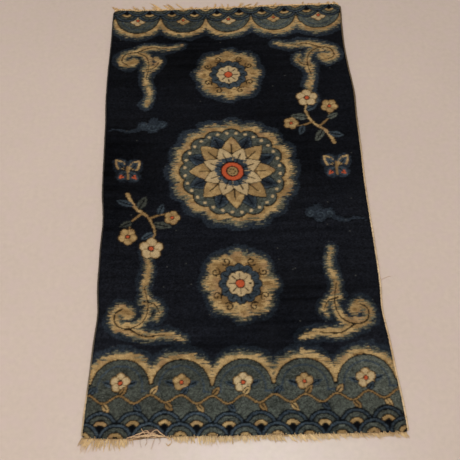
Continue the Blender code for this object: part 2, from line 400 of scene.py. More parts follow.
def petals(x, y, count, root, tip, width, turn, dye, shade):
    for stalk_x, stalk_y, angle in ring_of(count, root, x, y, turn):
        length = tip - root
        edge, along, across = leaf(stalk_x, stalk_y, angle, length, width)
        tie(edge - OUTLINE, "night")
        tie(edge, dye)
        tie(np.maximum(edge, along - 0.42 * length), shade, 5.0)
        tie(vein(along, across, 0.1 * length, 0.72 * length), "night")


def blossom(x, y, size, turn, dye="ivory"):
    rounds = [disc(px, py, 0.46 * size) for px, py, _ in ring_of(5, 0.62 * size, x, y, turn)]
    tie(np.minimum.reduce(rounds) - OUTLINE, "night")
    for edge in rounds:
        tie(edge - 1.2, "umber")
        tie(edge + 0.8, dye)
    tie(disc(x, y, 0.32 * size), "night")
    tie(disc(x, y, 0.20 * size), "red")


def veined_leaf(x, y, angle, length, width, dye):
    edge, along, across = leaf(x, y, angle, length, width)
    tie(edge, dye, 1.0)
    tie(vein(along, across, 0.0, 0.8 * length), "night")


# %% The scalloped bands at the ends, with two rows of waves
LOBE_PITCH = 136.0
LOBE_RADIUS = 79.0
LOBE_RISE = 58.0
WAVE_PITCH = 68.0
WAVE_RISE = 24.0
# Columns: how far inside the wave's edge, dye
WAVE_RINGS = (
    (0.0, "night"),
    (3.2, "slate"),
    (8.0, "night"),
    (11.0, "green"),
    (19.0, "night"),
    (22.0, "straw"),
)
WAVE_RADIUS = 38.0
WAVE_EYE = 9.0
BAND_GLOW = 21.0
# Lines inside the band's edge. Columns: how far in, dye
BAND_LINES = ((13, "night"), (16, "green"))
# The slate stripe inside them: how far in it starts and stops
BAND_STRIPE = (27, 31)
# The blossom in each lobe and its two leaves
BLOSSOM_RISE = 12
BLOSSOM_LEAF = (34, 15)
# A band must be this deep to have room for a vine, which runs so far below the lobes' middles
VINE_DROP = 25
VINE_NEEDS = 150.0
VINE_STEP = 34.0
VINE_SWING = 9.0
VINE_WIDTH = 3.6
VINE_LEAF = (25, 12)


def vine(y, up):
    """A thin stem that runs along a band in waves, with a leaf at each bend."""
    bends = [(x * VINE_STEP, y + VINE_SWING * (-1) ** x) for x in range(-11, 12)]
    stem = stroke(smooth_line(bends, 4), VINE_WIDTH, VINE_WIDTH)
    for number, (x, bend_y) in enumerate(bends):
        tip = up * (-1) ** number * 0.9
        dye = ("umber", "slate", "straw")[number % 3]
        edge, along, across = leaf(x, bend_y, math.atan2(-tip, 0.75), *VINE_LEAF)
        tie(edge - 2, "night")
        tie(edge, dye)
        tie(vein(along, across, 3, 17, 1.4), "night")
    tie(stem - 1.6, "night")
    tie(stem, "umber")


def end_band(end, up, depth):
    from_end = (Y - end) * up
    shapes = [from_end - depth + LOBE_RISE]
    lobe_x = [LOBE_PITCH * lobe for lobe in (-2, -1, 0, 1, 2)]
    for x in lobe_x:
        shapes.append(disc(x, end + up * (depth - LOBE_RADIUS), LOBE_RADIUS))
    edge = np.minimum.reduce(shapes)
    glow(edge, BAND_GLOW)
    for inset, dye in BAND_LINES:
        tie(edge + inset, dye)
    tie(np.maximum(edge + BAND_STRIPE[0], -BAND_STRIPE[1] - edge), "slate", 1.0)
    for place, x in enumerate(lobe_x):
        y = end + up * (depth - LOBE_RADIUS + BLOSSOM_RISE)
        for hand in (-1, 1):
            veined_leaf(x + hand * 8, y - up * 8, math.atan2(up * 0.35, hand), *BLOSSOM_LEAF, "slate")
        size, dye = (17, "straw") if place % 2 else (20, "ivory")
        blossom(x, y, size, up * math.pi / 2, dye)
    if depth > VINE_NEEDS:
        vine(end + up * (depth - LOBE_RADIUS - VINE_DROP), up)
    for line in (1, 0):
        for wave in range(-6, 7):
            x = WAVE_PITCH * (wave + 0.5 * line)
            y = end + up * (WAVE_RISE * line - 8)
            for inset, dye in WAVE_RINGS:
                tie(disc(x, y, WAVE_RADIUS - inset), dye)
            tie(disc(x, y, WAVE_EYE), "night")


# %% The big round in the middle
ROUND_Y = 36.0
ROUND_RADIUS = 158
ROUND_LOBES = 16
PEARLS = 32
PEARL_RING = 126
PEARL_RADIUS = 4.4
ROUND_GLOW = 26.0
# Lines inside the round's edge. Columns: how far in, dye
ROUND_LINES = ((16, "night"), (19.5, "green"))
# The slate leaves that stand behind the petals: how many, how far out, and length and width
SEPALS = 8
SEPAL_RING = 56
SEPAL_SIZE = (68, 42)
# Columns: how many, root and tip from the middle, width, turn, dye, dye of the inner part
ROUND_PETALS = (
    (8, 26, 114, 52, 0.0, "straw", "umber"),
    (8, 18, 80, 40, math.pi / 8, "ivory", "slate"),
)
# The eye of the round. Columns: radius, dye
ROUND_EYE = ((32, "night"), (28, "red"), (17, "night"), (13.5, "straw"))
# Small dark seeds in the eye: how many, how far out, radius
SEEDS, SEED_RING, SEED_RADIUS = 6, 7.6, 2.3


def eye(y, rings):
    for radius, dye in rings:
        tie(disc(0, y, radius), dye)


def middle_round(y):
    edge, _, _ = scallop(0, y, ROUND_RADIUS, ROUND_LOBES, 0.075)
    glow(edge, ROUND_GLOW)
    for inset, dye in ROUND_LINES:
        tie(edge + inset, dye)
    for px, py, _ in ring_of(PEARLS, PEARL_RING, 0, y, math.pi / PEARLS):
        tie(disc(px, py, PEARL_RADIUS), "ivory")
    for px, py, angle in ring_of(SEPALS, SEPAL_RING, 0, y, math.pi / SEPALS):
        edge, along, across = leaf(px, py, angle, *SEPAL_SIZE)
        tie(edge - OUTLINE, "night")
        tie(edge, "slate")
        tie(edge + 6, "blue", 4.0)
        tie(vein(along, across, 0, 54), "night")
    for row in ROUND_PETALS:
        petals(0, y, *row)
    eye(y, ROUND_EYE)
    for px, py, _ in ring_of(SEEDS, SEED_RING, 0, y):
        tie(disc(px, py, SEED_RADIUS), "night")


# %% The two small rounds, like four clouds about a flower
SMALL_ROUNDS_Y = (372.0, -288.0)
SMALL_GLOW = 21.0
SMALL_RADIUS = 60
# The heads of its four clouds. Columns: radius, how far out, turn
SMALL_HEADS = ((40, 48, math.pi / 4), (20, 68, 0.0))
SMALL_EYE = ((12.5, "night"), (10.0, "red"))
# Each cloud's two curls: how far out, how far apart in angle
CURLS_OUT = 67
CURLS_APART = 0.30
# Columns: radius, lobes, how deep they are cut, dye, width of the dark slits, and their two ends
CLOUD_FLOWERS = (
    (52, 12, 0.14, "slate", 0.20, 46, 20),
    (33, 8, 0.16, "ivory", 0.22, 28, 12),
)


def cloud_round(y):
    heads = [disc(0, y, SMALL_RADIUS)]
    for radius, out, turn in SMALL_HEADS:
        heads += [disc(px, py, radius) for px, py, _ in ring_of(4, out, 0, y, turn)]
    glow(np.minimum.reduce(heads), SMALL_GLOW)
    for _, _, angle in ring_of(4, 1, turn=math.pi / 4):
        for hand in (-1, 1):
            px = CURLS_OUT * math.cos(angle + hand * CURLS_APART)
            py = y + CURLS_OUT * math.sin(angle + hand * CURLS_APART)
            spiral = curl(px, py, angle + math.pi + hand * 0.9, hand * 1.1, 2, 12)
            tie(stroke(spiral, 3.4, 3.0), "night")
    for radius, lobes, depth, dye, slit, outer, inner in CLOUD_FLOWERS:
        edge, far, angle = scallop(0, y, radius, lobes, depth)
        tie(edge - OUTLINE, "night")
        tie(edge, dye)
        slits = 20 * (np.abs(np.sin(angle * lobes / 2)) - slit)
        tie(np.maximum(slits, np.maximum(far - outer, inner - far)), "night")
    eye(y, SMALL_EYE)


# %% [markdown]
# The corner scrolls, the sprigs and the butterflies each stand at more than one place. Each is
# drawn once about its own origin, and a small function turns it over to the left or upside down.


# %% Corner scrolls, sprigs, butterflies and clouds
def placer(x, y, side, up):
    """Turns a motif's own coordinates into the rug's."""
    return lambda px, py: (x + side * px, y + up * py)


def drawn(at, points, first_width, last_width):
    """A band along a smooth curve through a motif's own points."""
    return stroke(smooth_line([at(*point) for point in points]), first_width, last_width)


SCROLL = (
    (4, -2),
    (-12, 10),
    (-28, -2),
    (-22, -28),
    (8, -38),
    (40, -20),
    (50, 20),
    (42, 66),
    (54, 116),
    (46, 158),
)
SCROLL_FOOT = ((8, -37), (48, -56), (96, -52), (138, -62))
SCROLL_HORN = ((40, 30), (66, 22), (78, 2), (70, -12))
SCROLL_GLOW = 17.0


def corner_scroll(x, y, side, up):
    at = placer(x, y, side, up)
    bands = [drawn(at, SCROLL, 25, 10), drawn(at, SCROLL_FOOT, 25, 6), drawn(at, SCROLL_HORN, 16, 7)]
    glow(np.minimum.reduce(bands), SCROLL_GLOW)
    for line in (SCROLL[1:8], SCROLL_FOOT[:3], SCROLL_HORN[:3]):
        tie(drawn(at, line, 3.6, 2.4), "night")


SPRIG_STEM = ((-48, -78), (-30, -40), (2, -12), (20, 26), (16, 66))
SPRIG_TWIGS = (((-12, -24), (-40, 6), (-44, 34)), ((6, -8), (38, -20), (58, -14)))
# Columns: place across and up, angle in degrees, length, width, dye
SPRIG_LEAVES = (
    (-34, -46, 195, 44, 20, "slate"),
    (-22, -34, -60, 46, 21, "green"),
    (16, 8, 10, 48, 21, "green"),
    (20, 34, 150, 38, 18, "slate"),
    (-36, 4, 155, 36, 17, "green"),
    (30, -18, -70, 36, 17, "slate"),
)
# Columns: place across and up, size, turn, dye
SPRIG_BLOSSOMS = ((14, 78, 27, 0.3, "ivory"), (-46, 46, 21, 1.0, "straw"), (64, -10, 18, 0.0, "straw"))


def sprig(x, y, side, up):
    at = placer(x, y, side, up)
    stem = drawn(at, SPRIG_STEM, 10, 4)
    tie(stem - OUTLINE, "night")
    tie(stem, "straw", 1.5)
    for twig in SPRIG_TWIGS:
        tie(drawn(at, twig, 6, 3), "umber")
    for px, py, degrees, length, width, dye in SPRIG_LEAVES:
        angle = math.radians(degrees)
        angle = math.atan2(up * math.sin(angle), side * math.cos(angle))
        veined_leaf(*at(px, py), angle, length, width, dye)
    for px, py, size, turn, dye in SPRIG_BLOSSOMS:
        blossom(*at(px, py), size, turn, dye)


# Columns: angle in degrees, length, width, dye, dye of the spot
BUTTERFLY_WINGS = ((52, 50, 30, "straw", "slate"), (-46, 36, 25, "slate", "red"))


def butterfly(x, y):
    for hand in (-1, 1):
        for degrees, length, width, dye, spot in BUTTERFLY_WINGS:
            angle = math.radians(degrees)
            angle = math.atan2(math.sin(angle), hand * math.cos(angle))
            edge, along, across = leaf(x + 2 * hand, y, angle, length, width)
            tie(edge - 9, "blue", 4.0)
            tie(edge, dye)
            tie(np.maximum(edge + 6, 17 - along), spot)
            tie(vein(along, across, 4, 0.6 * length, 1.4), "night")
        feeler = curl(x + 13 * hand, y + 32, 0 if hand > 0 else math.pi, -0.7 * hand, 2, 7)
        tie(stroke([(x, y + 15), *feeler[::-1]], 3.2, 3.0), "slate")
    tie(stroke([(x, y + 17), (x, y - 21)], 7, 5), "umber")


CLOUD_HEADS = ((0, 0, 20), (24, 8, 15), (-24, 4, 16), (4, 18, 14))
CLOUD_TAIL = ((-30, -4), (-62, -16), (-96, -10), (-118, -18))


def cloud(x, y, side):
    at = placer(x, y, side, 1)
    heads = [disc(*at(px, py), radius) for px, py, radius in CLOUD_HEADS]
    edge = np.minimum.reduce([*heads, drawn(at, CLOUD_TAIL, 15, 3)])
    tie(edge - 2, "night")
    tie(edge, "blue", 3.0)
    for px, py, radius in CLOUD_HEADS[:3]:
        tie(stroke(curl(*at(px, py), -1.2, side * 1.2, 1.5, radius - 5), 3.0, 2.6), "slate")


# %% Tie them all, the scrolls first, so that the bands and the rounds lie over their glow
FROM_MIDDLE = 276
# Columns: place along, which way is up
SCROLLS = ((-362, 1), (424, -1))
# Columns: place across and along, which way it faces, which way is up
SPRIGS = ((226, 196, -1, 1), (-230, -112, 1, -1))
CLOUDS = ((-212, 186, 1), (212, -108, -1))
# Columns: place of the end, which way is into the rug, depth
BANDS = ((-LENGTH_MM / 2, 1, 182.0), (LENGTH_MM / 2, -1, 114.0))
for side in (-1, 1):
    for scroll_y, up in SCROLLS:
        corner_scroll(-side * FROM_MIDDLE, scroll_y, side, up)
    butterfly(side * FROM_MIDDLE, ROUND_Y)
middle_round(ROUND_Y)
for small_y in SMALL_ROUNDS_Y:
    cloud_round(small_y)
for draw, places in ((end_band, BANDS), (sprig, SPRIGS), (cloud, CLOUDS)):
    for place in places:
        draw(*place)
for number, name in enumerate(DYE_NAMES):
    print(name, round(100 * float((chart == number).mean()), 1), "% of the knots")

# %% [markdown]
# ## Uneven dye
# Each dye lot took a little differently, so a ground of one colour shows pale and dark rows, which
# weavers call abrash. Old straw wool is also stained brown in patches, and the grey-green is
# speckled. A shader could add all that, but the stains then ignore the knots. Here each knot's own
# colour is worked out once and kept in the mesh, as the real one keeps it in its yarn.

# %% The colour of each knot
chance = np.random.default_rng(12)
ABRASH = {"indigo": 0.42, "night": 0.10, "blue": 0.36, "slate": 0.24, "green": 0.26, "drab": 0.25}
SPECKLED = {"green": 0.90, "drab": 0.60, "indigo": 0.90, "blue": 0.85, "slate": 0.70}
SPECKLED |= {"straw": 0.26, "umber": 0.30, "ivory": 0.20}
ROSE_STAIN = np.array((0.25, 0.13, 0.075))
# Columns: place along in millimetres, how pale the field is
FIELD_LOTS = ((-640, 2.0), (-300, 1.8), (-60, 1.4), (60, 0.92), (640, 0.92))
LINT_SHARE = {"green": 0.0016, "slate": 0.0016, "blue": 0.0016, "indigo": 0.0006}
LINT_COLOUR = np.array((0.26, 0.26, 0.23))

knot_colour = np.array([DYES[name] for name in DYE_NAMES])[chart]
row_shade = soft_noise(260.0, 4 * KNOT_MM, 21) * 0.55 + soft_noise(60.0, 2 * KNOT_MM, 22) * 0.45
slow_shade = soft_noise(230.0, 150.0, 23)


def knots_of(*names):
    return np.isin(chart, [DYE_NAMES.index(name) for name in names])[..., None]


def shaded(names, shade):
    """The colours of all knots, with those of the named dyes paler or darker."""
    return np.where(knots_of(*names), knot_colour * shade[..., None], knot_colour)


def share_above(values, start, span):
    """Rises from 0 to 1 while the values go from the start over the span."""
    return np.clip((values - start) / span, 0, 1)


for name, swing in ABRASH.items():
    shade = 1 + swing * (2 * row_shade - 1) + 1.2 * swing * (2 * slow_shade - 1)
    knot_colour = shaded((name,), shade)

# %% The grey-green is paler to the right, and the lower half of the field is of a paler lot
PALER_TO_THE_RIGHT = 0.8
knot_colour = shaded(("green",), 1.0 + PALER_TO_THE_RIGHT * (column_of + 0.5) / COLUMNS)
field_lot = np.interp(flat_y + 60 * slow_shade + 10 * row_shade, *zip(*FIELD_LOTS))
knot_colour = shaded(("indigo",), field_lot)
print("the field's lots run from", field_lot.min().round(2), "to", field_lot.max().round(2))

# %% Brown and rose stains in the straw, in patches a few knots wide
BROWN_STAIN = 0.72
ROSE_SHARE = 0.35
IVORY_STAIN = 0.3
patches = 0.40 * soft_noise(24.0, 13.0, 31) + 0.35 * soft_noise(9.0, 7.0, 32)
patches = patches + 0.25 * soft_noise(70.0, 50.0, 34)
brown = share_above(patches, 0.36, 0.26)[..., None]
rose = share_above(soft_noise(26.0, 18.0, 33), 0.66, 0.2)[..., None]
stained = knot_colour + BROWN_STAIN * brown * (np.array(DYES["umber"]) - knot_colour)
stained = stained + ROSE_SHARE * rose * (ROSE_STAIN - stained)
knot_colour = np.where(knots_of("straw"), stained, knot_colour)
touched = (1 - IVORY_STAIN) * knot_colour + IVORY_STAIN * stained
knot_colour = np.where(knots_of("ivory"), touched, knot_colour)
print("stained brown:", round(100 * float((brown > 0.5).mean())), "% of the knots, where they are straw")

# %% Specks, dark streaks and lint
STREAKS = 0.45
KNOT_SWING = 0.14
MINGLING = 0.30
for name, swing in SPECKLED.items():
    grain = 1 + swing * (2 * chance.beta(1.6, 2.2, chart.shape) - 0.84)
    knot_colour = shaded((name,), grain)
dark_streaks = share_above(row_noise(12.0, 35) * 0.6 + soft_noise(40.0, 9.0, 36), 0.86, 0.3)
knot_colour = shaded(("green", "slate"), 1 - STREAKS * dark_streaks)
knot_colour = knot_colour * (1 - KNOT_SWING / 2 + KNOT_SWING * chance.random(chart.shape))[..., None]
lint_chance = np.array([LINT_SHARE.get(name, 0.0) for name in DYE_NAMES])[chart]
lint = (chance.random(chart.shape) < lint_chance)[..., None]
knot_colour = np.where(lint, 0.6 * knot_colour + 0.4 * LINT_COLOUR, knot_colour)


def mingled(colour, share):
    """Each knot takes a little of its four neighbours' colours, as tufts of wool lean over borders."""
    padded = np.pad(colour, ((1, 1), (1, 1), (0, 0)), mode="edge")
    around = padded[2:, 1:-1] + padded[:-2, 1:-1] + padded[1:-1, 2:] + padded[1:-1, :-2]
    return colour + share * (around / 4 - colour)


knot_colour = mingled(knot_colour, MINGLING * chance.random(chart.shape)[..., None])
print("knots with lint:", int(lint.sum()), "mean colour:", knot_colour.mean(axis=(0, 1)).round(3))

# %% [markdown]
# At the left of the foot the pile has worn away down to the foundation, over a patch as wide as a
# hand and a few rows deep. The patch is one more shape on the chart, kept as a share from 0 to 1: it
# browns the knots here, and lowers the pile when that is made. Their brown is the foundation's,
# darkened further as painted shadow under the loose threads that lie over it.

# %% The bare patch at the foot
BARE_MIDDLE = -199.0
BARE_HALF = 38.0
BARE_DEPTH = 16.0
BARE_RAGGED = 4
# The foundation's brown, made darker as painted shadow of the loose threads over it
FOUNDATION_IN_SHADOW = np.array((0.120, 0.070, 0.052))
bare_edge = BARE_DEPTH * (1 - ((flat_x - BARE_MIDDLE) / BARE_HALF) ** 2)
bare_edge = bare_edge + BARE_RAGGED * row_noise(16.0, 37)
bare = np.clip((bare_edge - (flat_y + LENGTH_MM / 2)) / 3, 0, 1)
worn_and_shadowed = FOUNDATION_IN_SHADOW * (0.6 + 0.8 * chance.random(chart.shape))[..., None]
knot_colour = knot_colour + (0.85 * bare)[..., None] * (worn_and_shadowed - knot_colour)
print("worn knots:", int((bare > 0.5).sum()))

# %% [markdown]
# ## The pile
# Each knot stands up as two short tufts, and all are shorn to one height. That many separate tufts
# would be far too heavy, and a smooth slab would look like felt. A grid is the measure between
# them. Each of its squares holds two knots side by side: its left and right corners take their
# colours, and lean towards the knots around them, as wool does. The corners sit a little high or
# low, and three more rows of squares roll the rim down to the foundation. Where two colours meet,
# the pile is clipped a little lower, as rug makers do to sharpen a shape. The foot edge is ragged,
# because the first rows there are the most worn.

# %% Helpers that turn a bmesh into a dressed piece
def new_piece(name, bm, smooth=True):
    mesh = bpy.data.meshes.new(name)
    bm.to_mesh(mesh)
    bm.free()
    piece = bpy.data.objects.new(name, mesh)
    bpy.context.scene.collection.objects.link(piece)
    if smooth:
        mesh.shade_smooth()
    return piece


def read_all(items, field, width, kind=float):
    """One field of many mesh items, as an array with a row for each."""
    values = np.empty(len(items) * width, dtype=kind)
    items.foreach_get(field, values)
    return values.reshape(-1, width) if width > 1 else values


def places_of(mesh):
    return read_all(mesh.vertices, "co", 3)


def move_to(mesh, places):
    mesh.vertices.foreach_set("co", np.ascontiguousarray(places, dtype=np.float32).ravel())
    mesh.update()


def triangles_in(piece):
    return sum(len(face.vertices) - 2 for face in piece.data.polygons)


def keep_colour(mesh, name, domain, colours):
    colours = np.column_stack([colours, np.ones(len(colours))])
    layer = mesh.attributes.new(name, "FLOAT_COLOR", domain)
    layer.data.foreach_set("color", colours.astype(np.float32).ravel())


def keep_value(mesh, name, values):
    layer = mesh.attributes.new(name, "FLOAT", "POINT")
    layer.data.foreach_set("value", np.asarray(values, dtype=np.float32))


# %% A slab of squares: a grid whose rim is drawn down in steps, and a closed sole
def slab_of_squares(columns, rows, steps_down):
    """A flat grid from 0 to 1 each way. z is 0 on top and -1 lower for each row of the wall."""
    bm = bmesh.new()
    bmesh.ops.create_grid(bm, x_segments=columns, y_segments=rows, size=0.5)
    bmesh.ops.translate(bm, verts=bm.verts, vec=(0.5, 0.5, 0.0))
    rim = [edge for edge in bm.edges if edge.is_boundary]
    for _ in range(steps_down):
        skirt = bmesh.ops.extrude_edge_only(bm, edges=rim)["geom"]
        rim = [item for item in skirt if isinstance(item, bmesh.types.BMEdge) and item.is_boundary]
        corners = {corner for edge in rim for corner in edge.verts}
        bmesh.ops.translate(bm, verts=list(corners), vec=(0.0, 0.0, -1.0))
    bmesh.ops.contextual_create(bm, geom=rim)
    bmesh.ops.recalc_face_normals(bm, faces=bm.faces)
    return bm


def nearest_knot(places):
    """The chart's row and column nearest to each place, given as shares of the rug."""
    column = np.clip((places[:, 0] * COLUMNS).astype(int), 0, COLUMNS - 1)
    row = np.clip((places[:, 1] * ROWS).astype(int), 0, ROWS - 1)
    return row, column


LEANING = 0.35


def leaning_colours(mesh, flat):
    """A colour for each corner of each square: its own knot's, leaning towards the knots around it."""
    padded = np.pad(knot_colour, ((1, 1), (1, 1), (0, 0)), mode="edge")
    around = (padded[:-1, :-1] + padded[:-1, 1:] + padded[1:, :-1] + padded[1:, 1:]) / 4
    face = np.repeat(np.arange(len(mesh.polygons)), read_all(mesh.polygons, "loop_total", 1, int))
    middle = read_all(mesh.polygons, "center", 3)[face]
    place = flat[read_all(mesh.loops, "vertex_index", 1, int)]
    own = knot_colour[nearest_knot(middle + (place - middle) * (0.5, 0.0, 0.0))]
    row, column = np.rint(place[:, 1] * ROWS).astype(int), np.rint(place[:, 0] * COLUMNS).astype(int)
    return own + LEANING * (around[row, column] - own)


# %% Where the pile is clipped lower: round every knot whose dye differs from its neighbour's
CARVED = 0.45 * MM
TIP_SPREAD = 0.22 * MM
ROW_SPREAD = 0.14 * MM
KNOT_DRIFT = 0.36 * MM


def carving():
    """For each corner of the grid, 1 where knots of unlike dyes meet and 0 elsewhere."""
    padded = np.pad(chart, 1, mode="edge")
    four = np.stack([padded[:-1, :-1], padded[:-1, 1:], padded[1:, :-1], padded[1:, 1:]])
    return (four.max(axis=0) != four.min(axis=0)).astype(float)


# %% How the pile's foot edge wanders in and out over the web
RAGGED_FOOT = 1.3 * MM


def wander(along, seed, waves=7, slowest=3.0):
    """A smooth random line between about -1 and 1, over shares from 0 to 1."""
    chance = np.random.default_rng(seed)
    total = np.zeros(np.shape(along))
    for wave in range(waves):
        speed = slowest * 1.7**wave
        total = total + np.sin(2 * math.pi * (speed * along + chance.random())) / (1 + 0.5 * wave)
    return total / 3


def ragged_edge(across, level):
    """How far the foot edge moves out at each corner. Low rows of the wall never move over the web."""
    coarse = np.random.default_rng(101).uniform(-1, 1, COLUMNS + 1)
    column = np.rint(across * COLUMNS).astype(int)
    smooth = wander(across, 102, 8, 16.0)
    shift = RAGGED_FOOT * np.clip(0.6 * coarse[column] + 0.7 * smooth, -1, 1)
    return np.where(level < 2, shift, np.where(level == 2, np.minimum(shift, 0), 0))


print("the foot edge wanders by up to", round(RAGGED_FOOT / MM, 1), "mm each way")

# %% The knotted pile
BACK_TOP = 1.2 * MM
BARE_HEIGHT = 2.6 * MM
AT_RIM = 0.001
# Rows of the wall, from the rim down. Columns: height as a share of the rim's, outward bulge
PILE_WALL = ((0.70, 0.20 * MM), (0.45, 0.15 * MM), (0.30, 0.0))


def make_pile():
    bm = slab_of_squares(COLUMNS // KNOTS_A_SQUARE, ROWS, len(PILE_WALL))
    pile = new_piece("knotted_pile", bm)
    mesh = pile.data
    flat = places_of(mesh)
    keep_colour(mesh, "dye", "CORNER", leaning_colours(mesh, flat))
    across, along, level = flat[:, 0], flat[:, 1], np.rint(-flat[:, 2]).astype(int)
    corner_column = np.rint(across * COLUMNS).astype(int)
    corner_row = np.rint(along * ROWS).astype(int)
    x, y = plan(across, along)
    z = pile_height(across, along)
    chance = np.random.default_rng(7)
    inner = (np.minimum(across, 1 - across) > 0) & (np.minimum(along, 1 - along) > 0)
    loose = np.where(inner, 1.0, 0.0)
    x = x + loose * KNOT_DRIFT * chance.uniform(-1, 1, len(x))
    y = y + loose * KNOT_DRIFT * chance.uniform(-1, 1, len(x))
    row_height = chance.uniform(-1, 1, ROWS + 1)[corner_row]
    uneven = TIP_SPREAD * chance.uniform(-1, 1, len(x)) + ROW_SPREAD * row_height
    z = z + loose * (uneven - CARVED * carving()[corner_row, corner_column])
    gone = bare[nearest_knot(flat)] * (level == 0)
    z = z + gone * (BARE_HEIGHT - z)
    # Which way is out at each corner of the rim, across and along
    out_x = (across > 1 - AT_RIM).astype(float) - (across < AT_RIM)
    out_y = (along > 1 - AT_RIM).astype(float) - (along < AT_RIM)
    for step, (share, bulge) in enumerate(PILE_WALL, start=1):
        here = level == step
        x[here] += bulge * out_x[here]
        y[here] += bulge * out_y[here]
        z[here] = np.maximum(z[here] * share, BACK_TOP + SEAT_GAP)
    at_foot = out_y < 0
    y[at_foot] -= ragged_edge(across[at_foot], level[at_foot])
    knot_map(mesh, flat)
    move_to(mesh, np.column_stack([x, y, z]))
    return pile


def knot_map(mesh, flat):
    """A UV map in knots: its whole numbers are the borders between one knot and the next."""
    layer = mesh.uv_layers.new(name="knots")
    places = flat[read_all(mesh.loops, "vertex_index", 1, int)]
    down = 0.5 * places[:, 2]
    across = places[:, 0] * COLUMNS + np.where(places[:, 0] < 0.5, down, -down)
    along = places[:, 1] * ROWS + np.where(places[:, 1] < 0.5, down, -down)
    layer.data.foreach_set("uv", np.column_stack([across, along]).astype(np.float32).ravel())


pile = make_pile()
print("knotted pile:", triangles_in(pile), "triangles for", ROWS * COLUMNS, "knots")

# %% [markdown]
# ## The back
# Turned over, the rug shows its foundation: the rows of knot collars in the same colours as the
# pile, only flatter and crossed by pale weft. It is a thin slab of its own under the pile, on a
# coarser grid, because nobody counts its knots; the colours are kept at the grid's corners so that
# they run into each other.

# %% The woven back
BACK_COLUMNS = 112
BACK_ROWS = 210
BACK_RIB = 0.12 * MM


def make_back():
    bm = slab_of_squares(BACK_COLUMNS, BACK_ROWS, 1)
    back = new_piece("woven_back", bm)
    mesh = back.data
    flat = places_of(mesh)
    keep_colour(mesh, "dye", "POINT", knot_colour[nearest_knot(flat)])
    across, along, top = flat[:, 0], flat[:, 1], flat[:, 2] < -0.5
    x, y = plan(across, along)
    chance = np.random.default_rng(17)
    rib = BACK_RIB * (1 + chance.uniform(-1, 1, len(x)))
    z = np.where(top, BACK_TOP, rib)
    knot_map(mesh, flat * (1, 1, 0))
    move_to(mesh, np.column_stack([x, y, z]))
    mesh.flip_normals()
    return back


back = make_back()
print("woven back:", triangles_in(back), "triangles")

# %% [markdown]
# ## Tufts along the rim
# Seen from the side, a rug's edge isn't a neat wall: the outermost tufts have nothing to lean on and
# splay out, and at the worn foot some are down to pale warp. They are small tapered tubes, made once
# and repeated by an Array modifier. The copies come out of it in order, so NumPy can then stand each
# one at its own place.

# %% A closed tube, and many copies of it
WELD = 0.00001
COPY_STEP = 2.0
FLOOR_LIFT = 0.00002


def rolled_tube(stations, sides):
    """A closed tube of radius 1 round the X axis, from x = 0 to x = 1: a grid rolled up and welded."""
    bm = bmesh.new()
    bmesh.ops.create_grid(bm, x_segments=stations, y_segments=sides, size=0.5)
    for corner in bm.verts:
        along, turn = corner.co.x + 0.5, (corner.co.y + 0.5) * 2 * math.pi
        corner.co = (along, math.cos(turn), math.sin(turn))
    bmesh.ops.remove_doubles(bm, verts=bm.verts, dist=WELD)
    bmesh.ops.holes_fill(bm, edges=[edge for edge in bm.edges if edge.is_boundary])
    bmesh.ops.recalc_face_normals(bm, faces=bm.faces)
    return bm


def copies_of(name, bm, count):
    """Many copies of a tube in one mesh. Returns the piece and, for each corner, the number of its
    copy, its share along the tube and its place round it."""
    piece = new_piece(name, bm)
    array = piece.modifiers.new("copies", "ARRAY")
    array.count = count
    array.use_relative_offset = False
    array.use_constant_offset = True
    array.constant_offset_displace = (COPY_STEP, 0.0, 0.0)
    graph = bpy.context.evaluated_depsgraph_get()
    mesh = bpy.data.meshes.new_from_object(piece.evaluated_get(graph))
    piece.modifiers.clear()
    piece.data = mesh
    mesh.name = name
    flat = places_of(mesh)
    copy = np.floor((flat[:, 0] + COPY_STEP / 4) / COPY_STEP).astype(int)
    return piece, copy, flat[:, 0] - COPY_STEP * copy, flat[:, 1:]


def lay_tubes(piece, middle, ahead, radius, turn):
    """Moves each corner of the copies to its place round a curve. The curve's middle points and
    directions are given for each corner; the tube's own side lies flat and its top points up."""
    side = np.column_stack([-ahead[:, 1], ahead[:, 0], np.zeros(len(ahead))])
    side /= np.linalg.norm(side, axis=1, keepdims=True)
    top = np.cross(ahead, side)
    top /= np.linalg.norm(top, axis=1, keepdims=True)
    places = middle + radius[:, None] * (side * turn[:, :1] + top * turn[:, 1:])
    places[:, 2] = np.maximum(places[:, 2], FLOOR_LIFT)
    move_to(piece.data, places)


# %% Splayed tufts round the rim
TUFT_PITCH = 3.0 * MM
TUFT_RADIUS = 1.25 * MM
TUFT_LENGTH = 3.4 * MM
TUFT_ROOT_DEPTH = 2.1 * MM
TUFT_INSET = 1.6
# How far a tuft leans out for each unit up: at least, and at random on top
SIDE_SPLAY = (0.18, 0.38)
HEAD_SPLAY = (0.30, 0.38)
FOOT_SPLAY = (0.55, 0.90)
FOOT_TUFTS_LONGER = 1.0
# Some of the foot's outermost tufts are worn down to pale warp
PALE_TUFTS = 0.26
PALE_WARP = np.array((0.46, 0.31, 0.165))


def rim_shares():
    """Shares of the rug's width and length round its rim, and the way out of the rug at each."""
    across_count = int(RUG_WIDTH / TUFT_PITCH)
    along_count = int(RUG_LENGTH / TUFT_PITCH)
    across = (np.arange(across_count) + 0.5) / across_count
    along = (np.arange(along_count) + 0.5) / along_count
    left = np.column_stack([np.zeros(along_count), along])
    right = np.column_stack([np.ones(along_count), along])
    foot = np.column_stack([across, np.zeros(across_count)])
    head = np.column_stack([across, np.ones(across_count)])
    ways = [(-1, 0)] * along_count + [(1, 0)] * along_count
    ways += [(0, -1)] * across_count + [(0, 1)] * across_count
    return np.concatenate([left, right, foot, head]), np.array(ways, dtype=float)


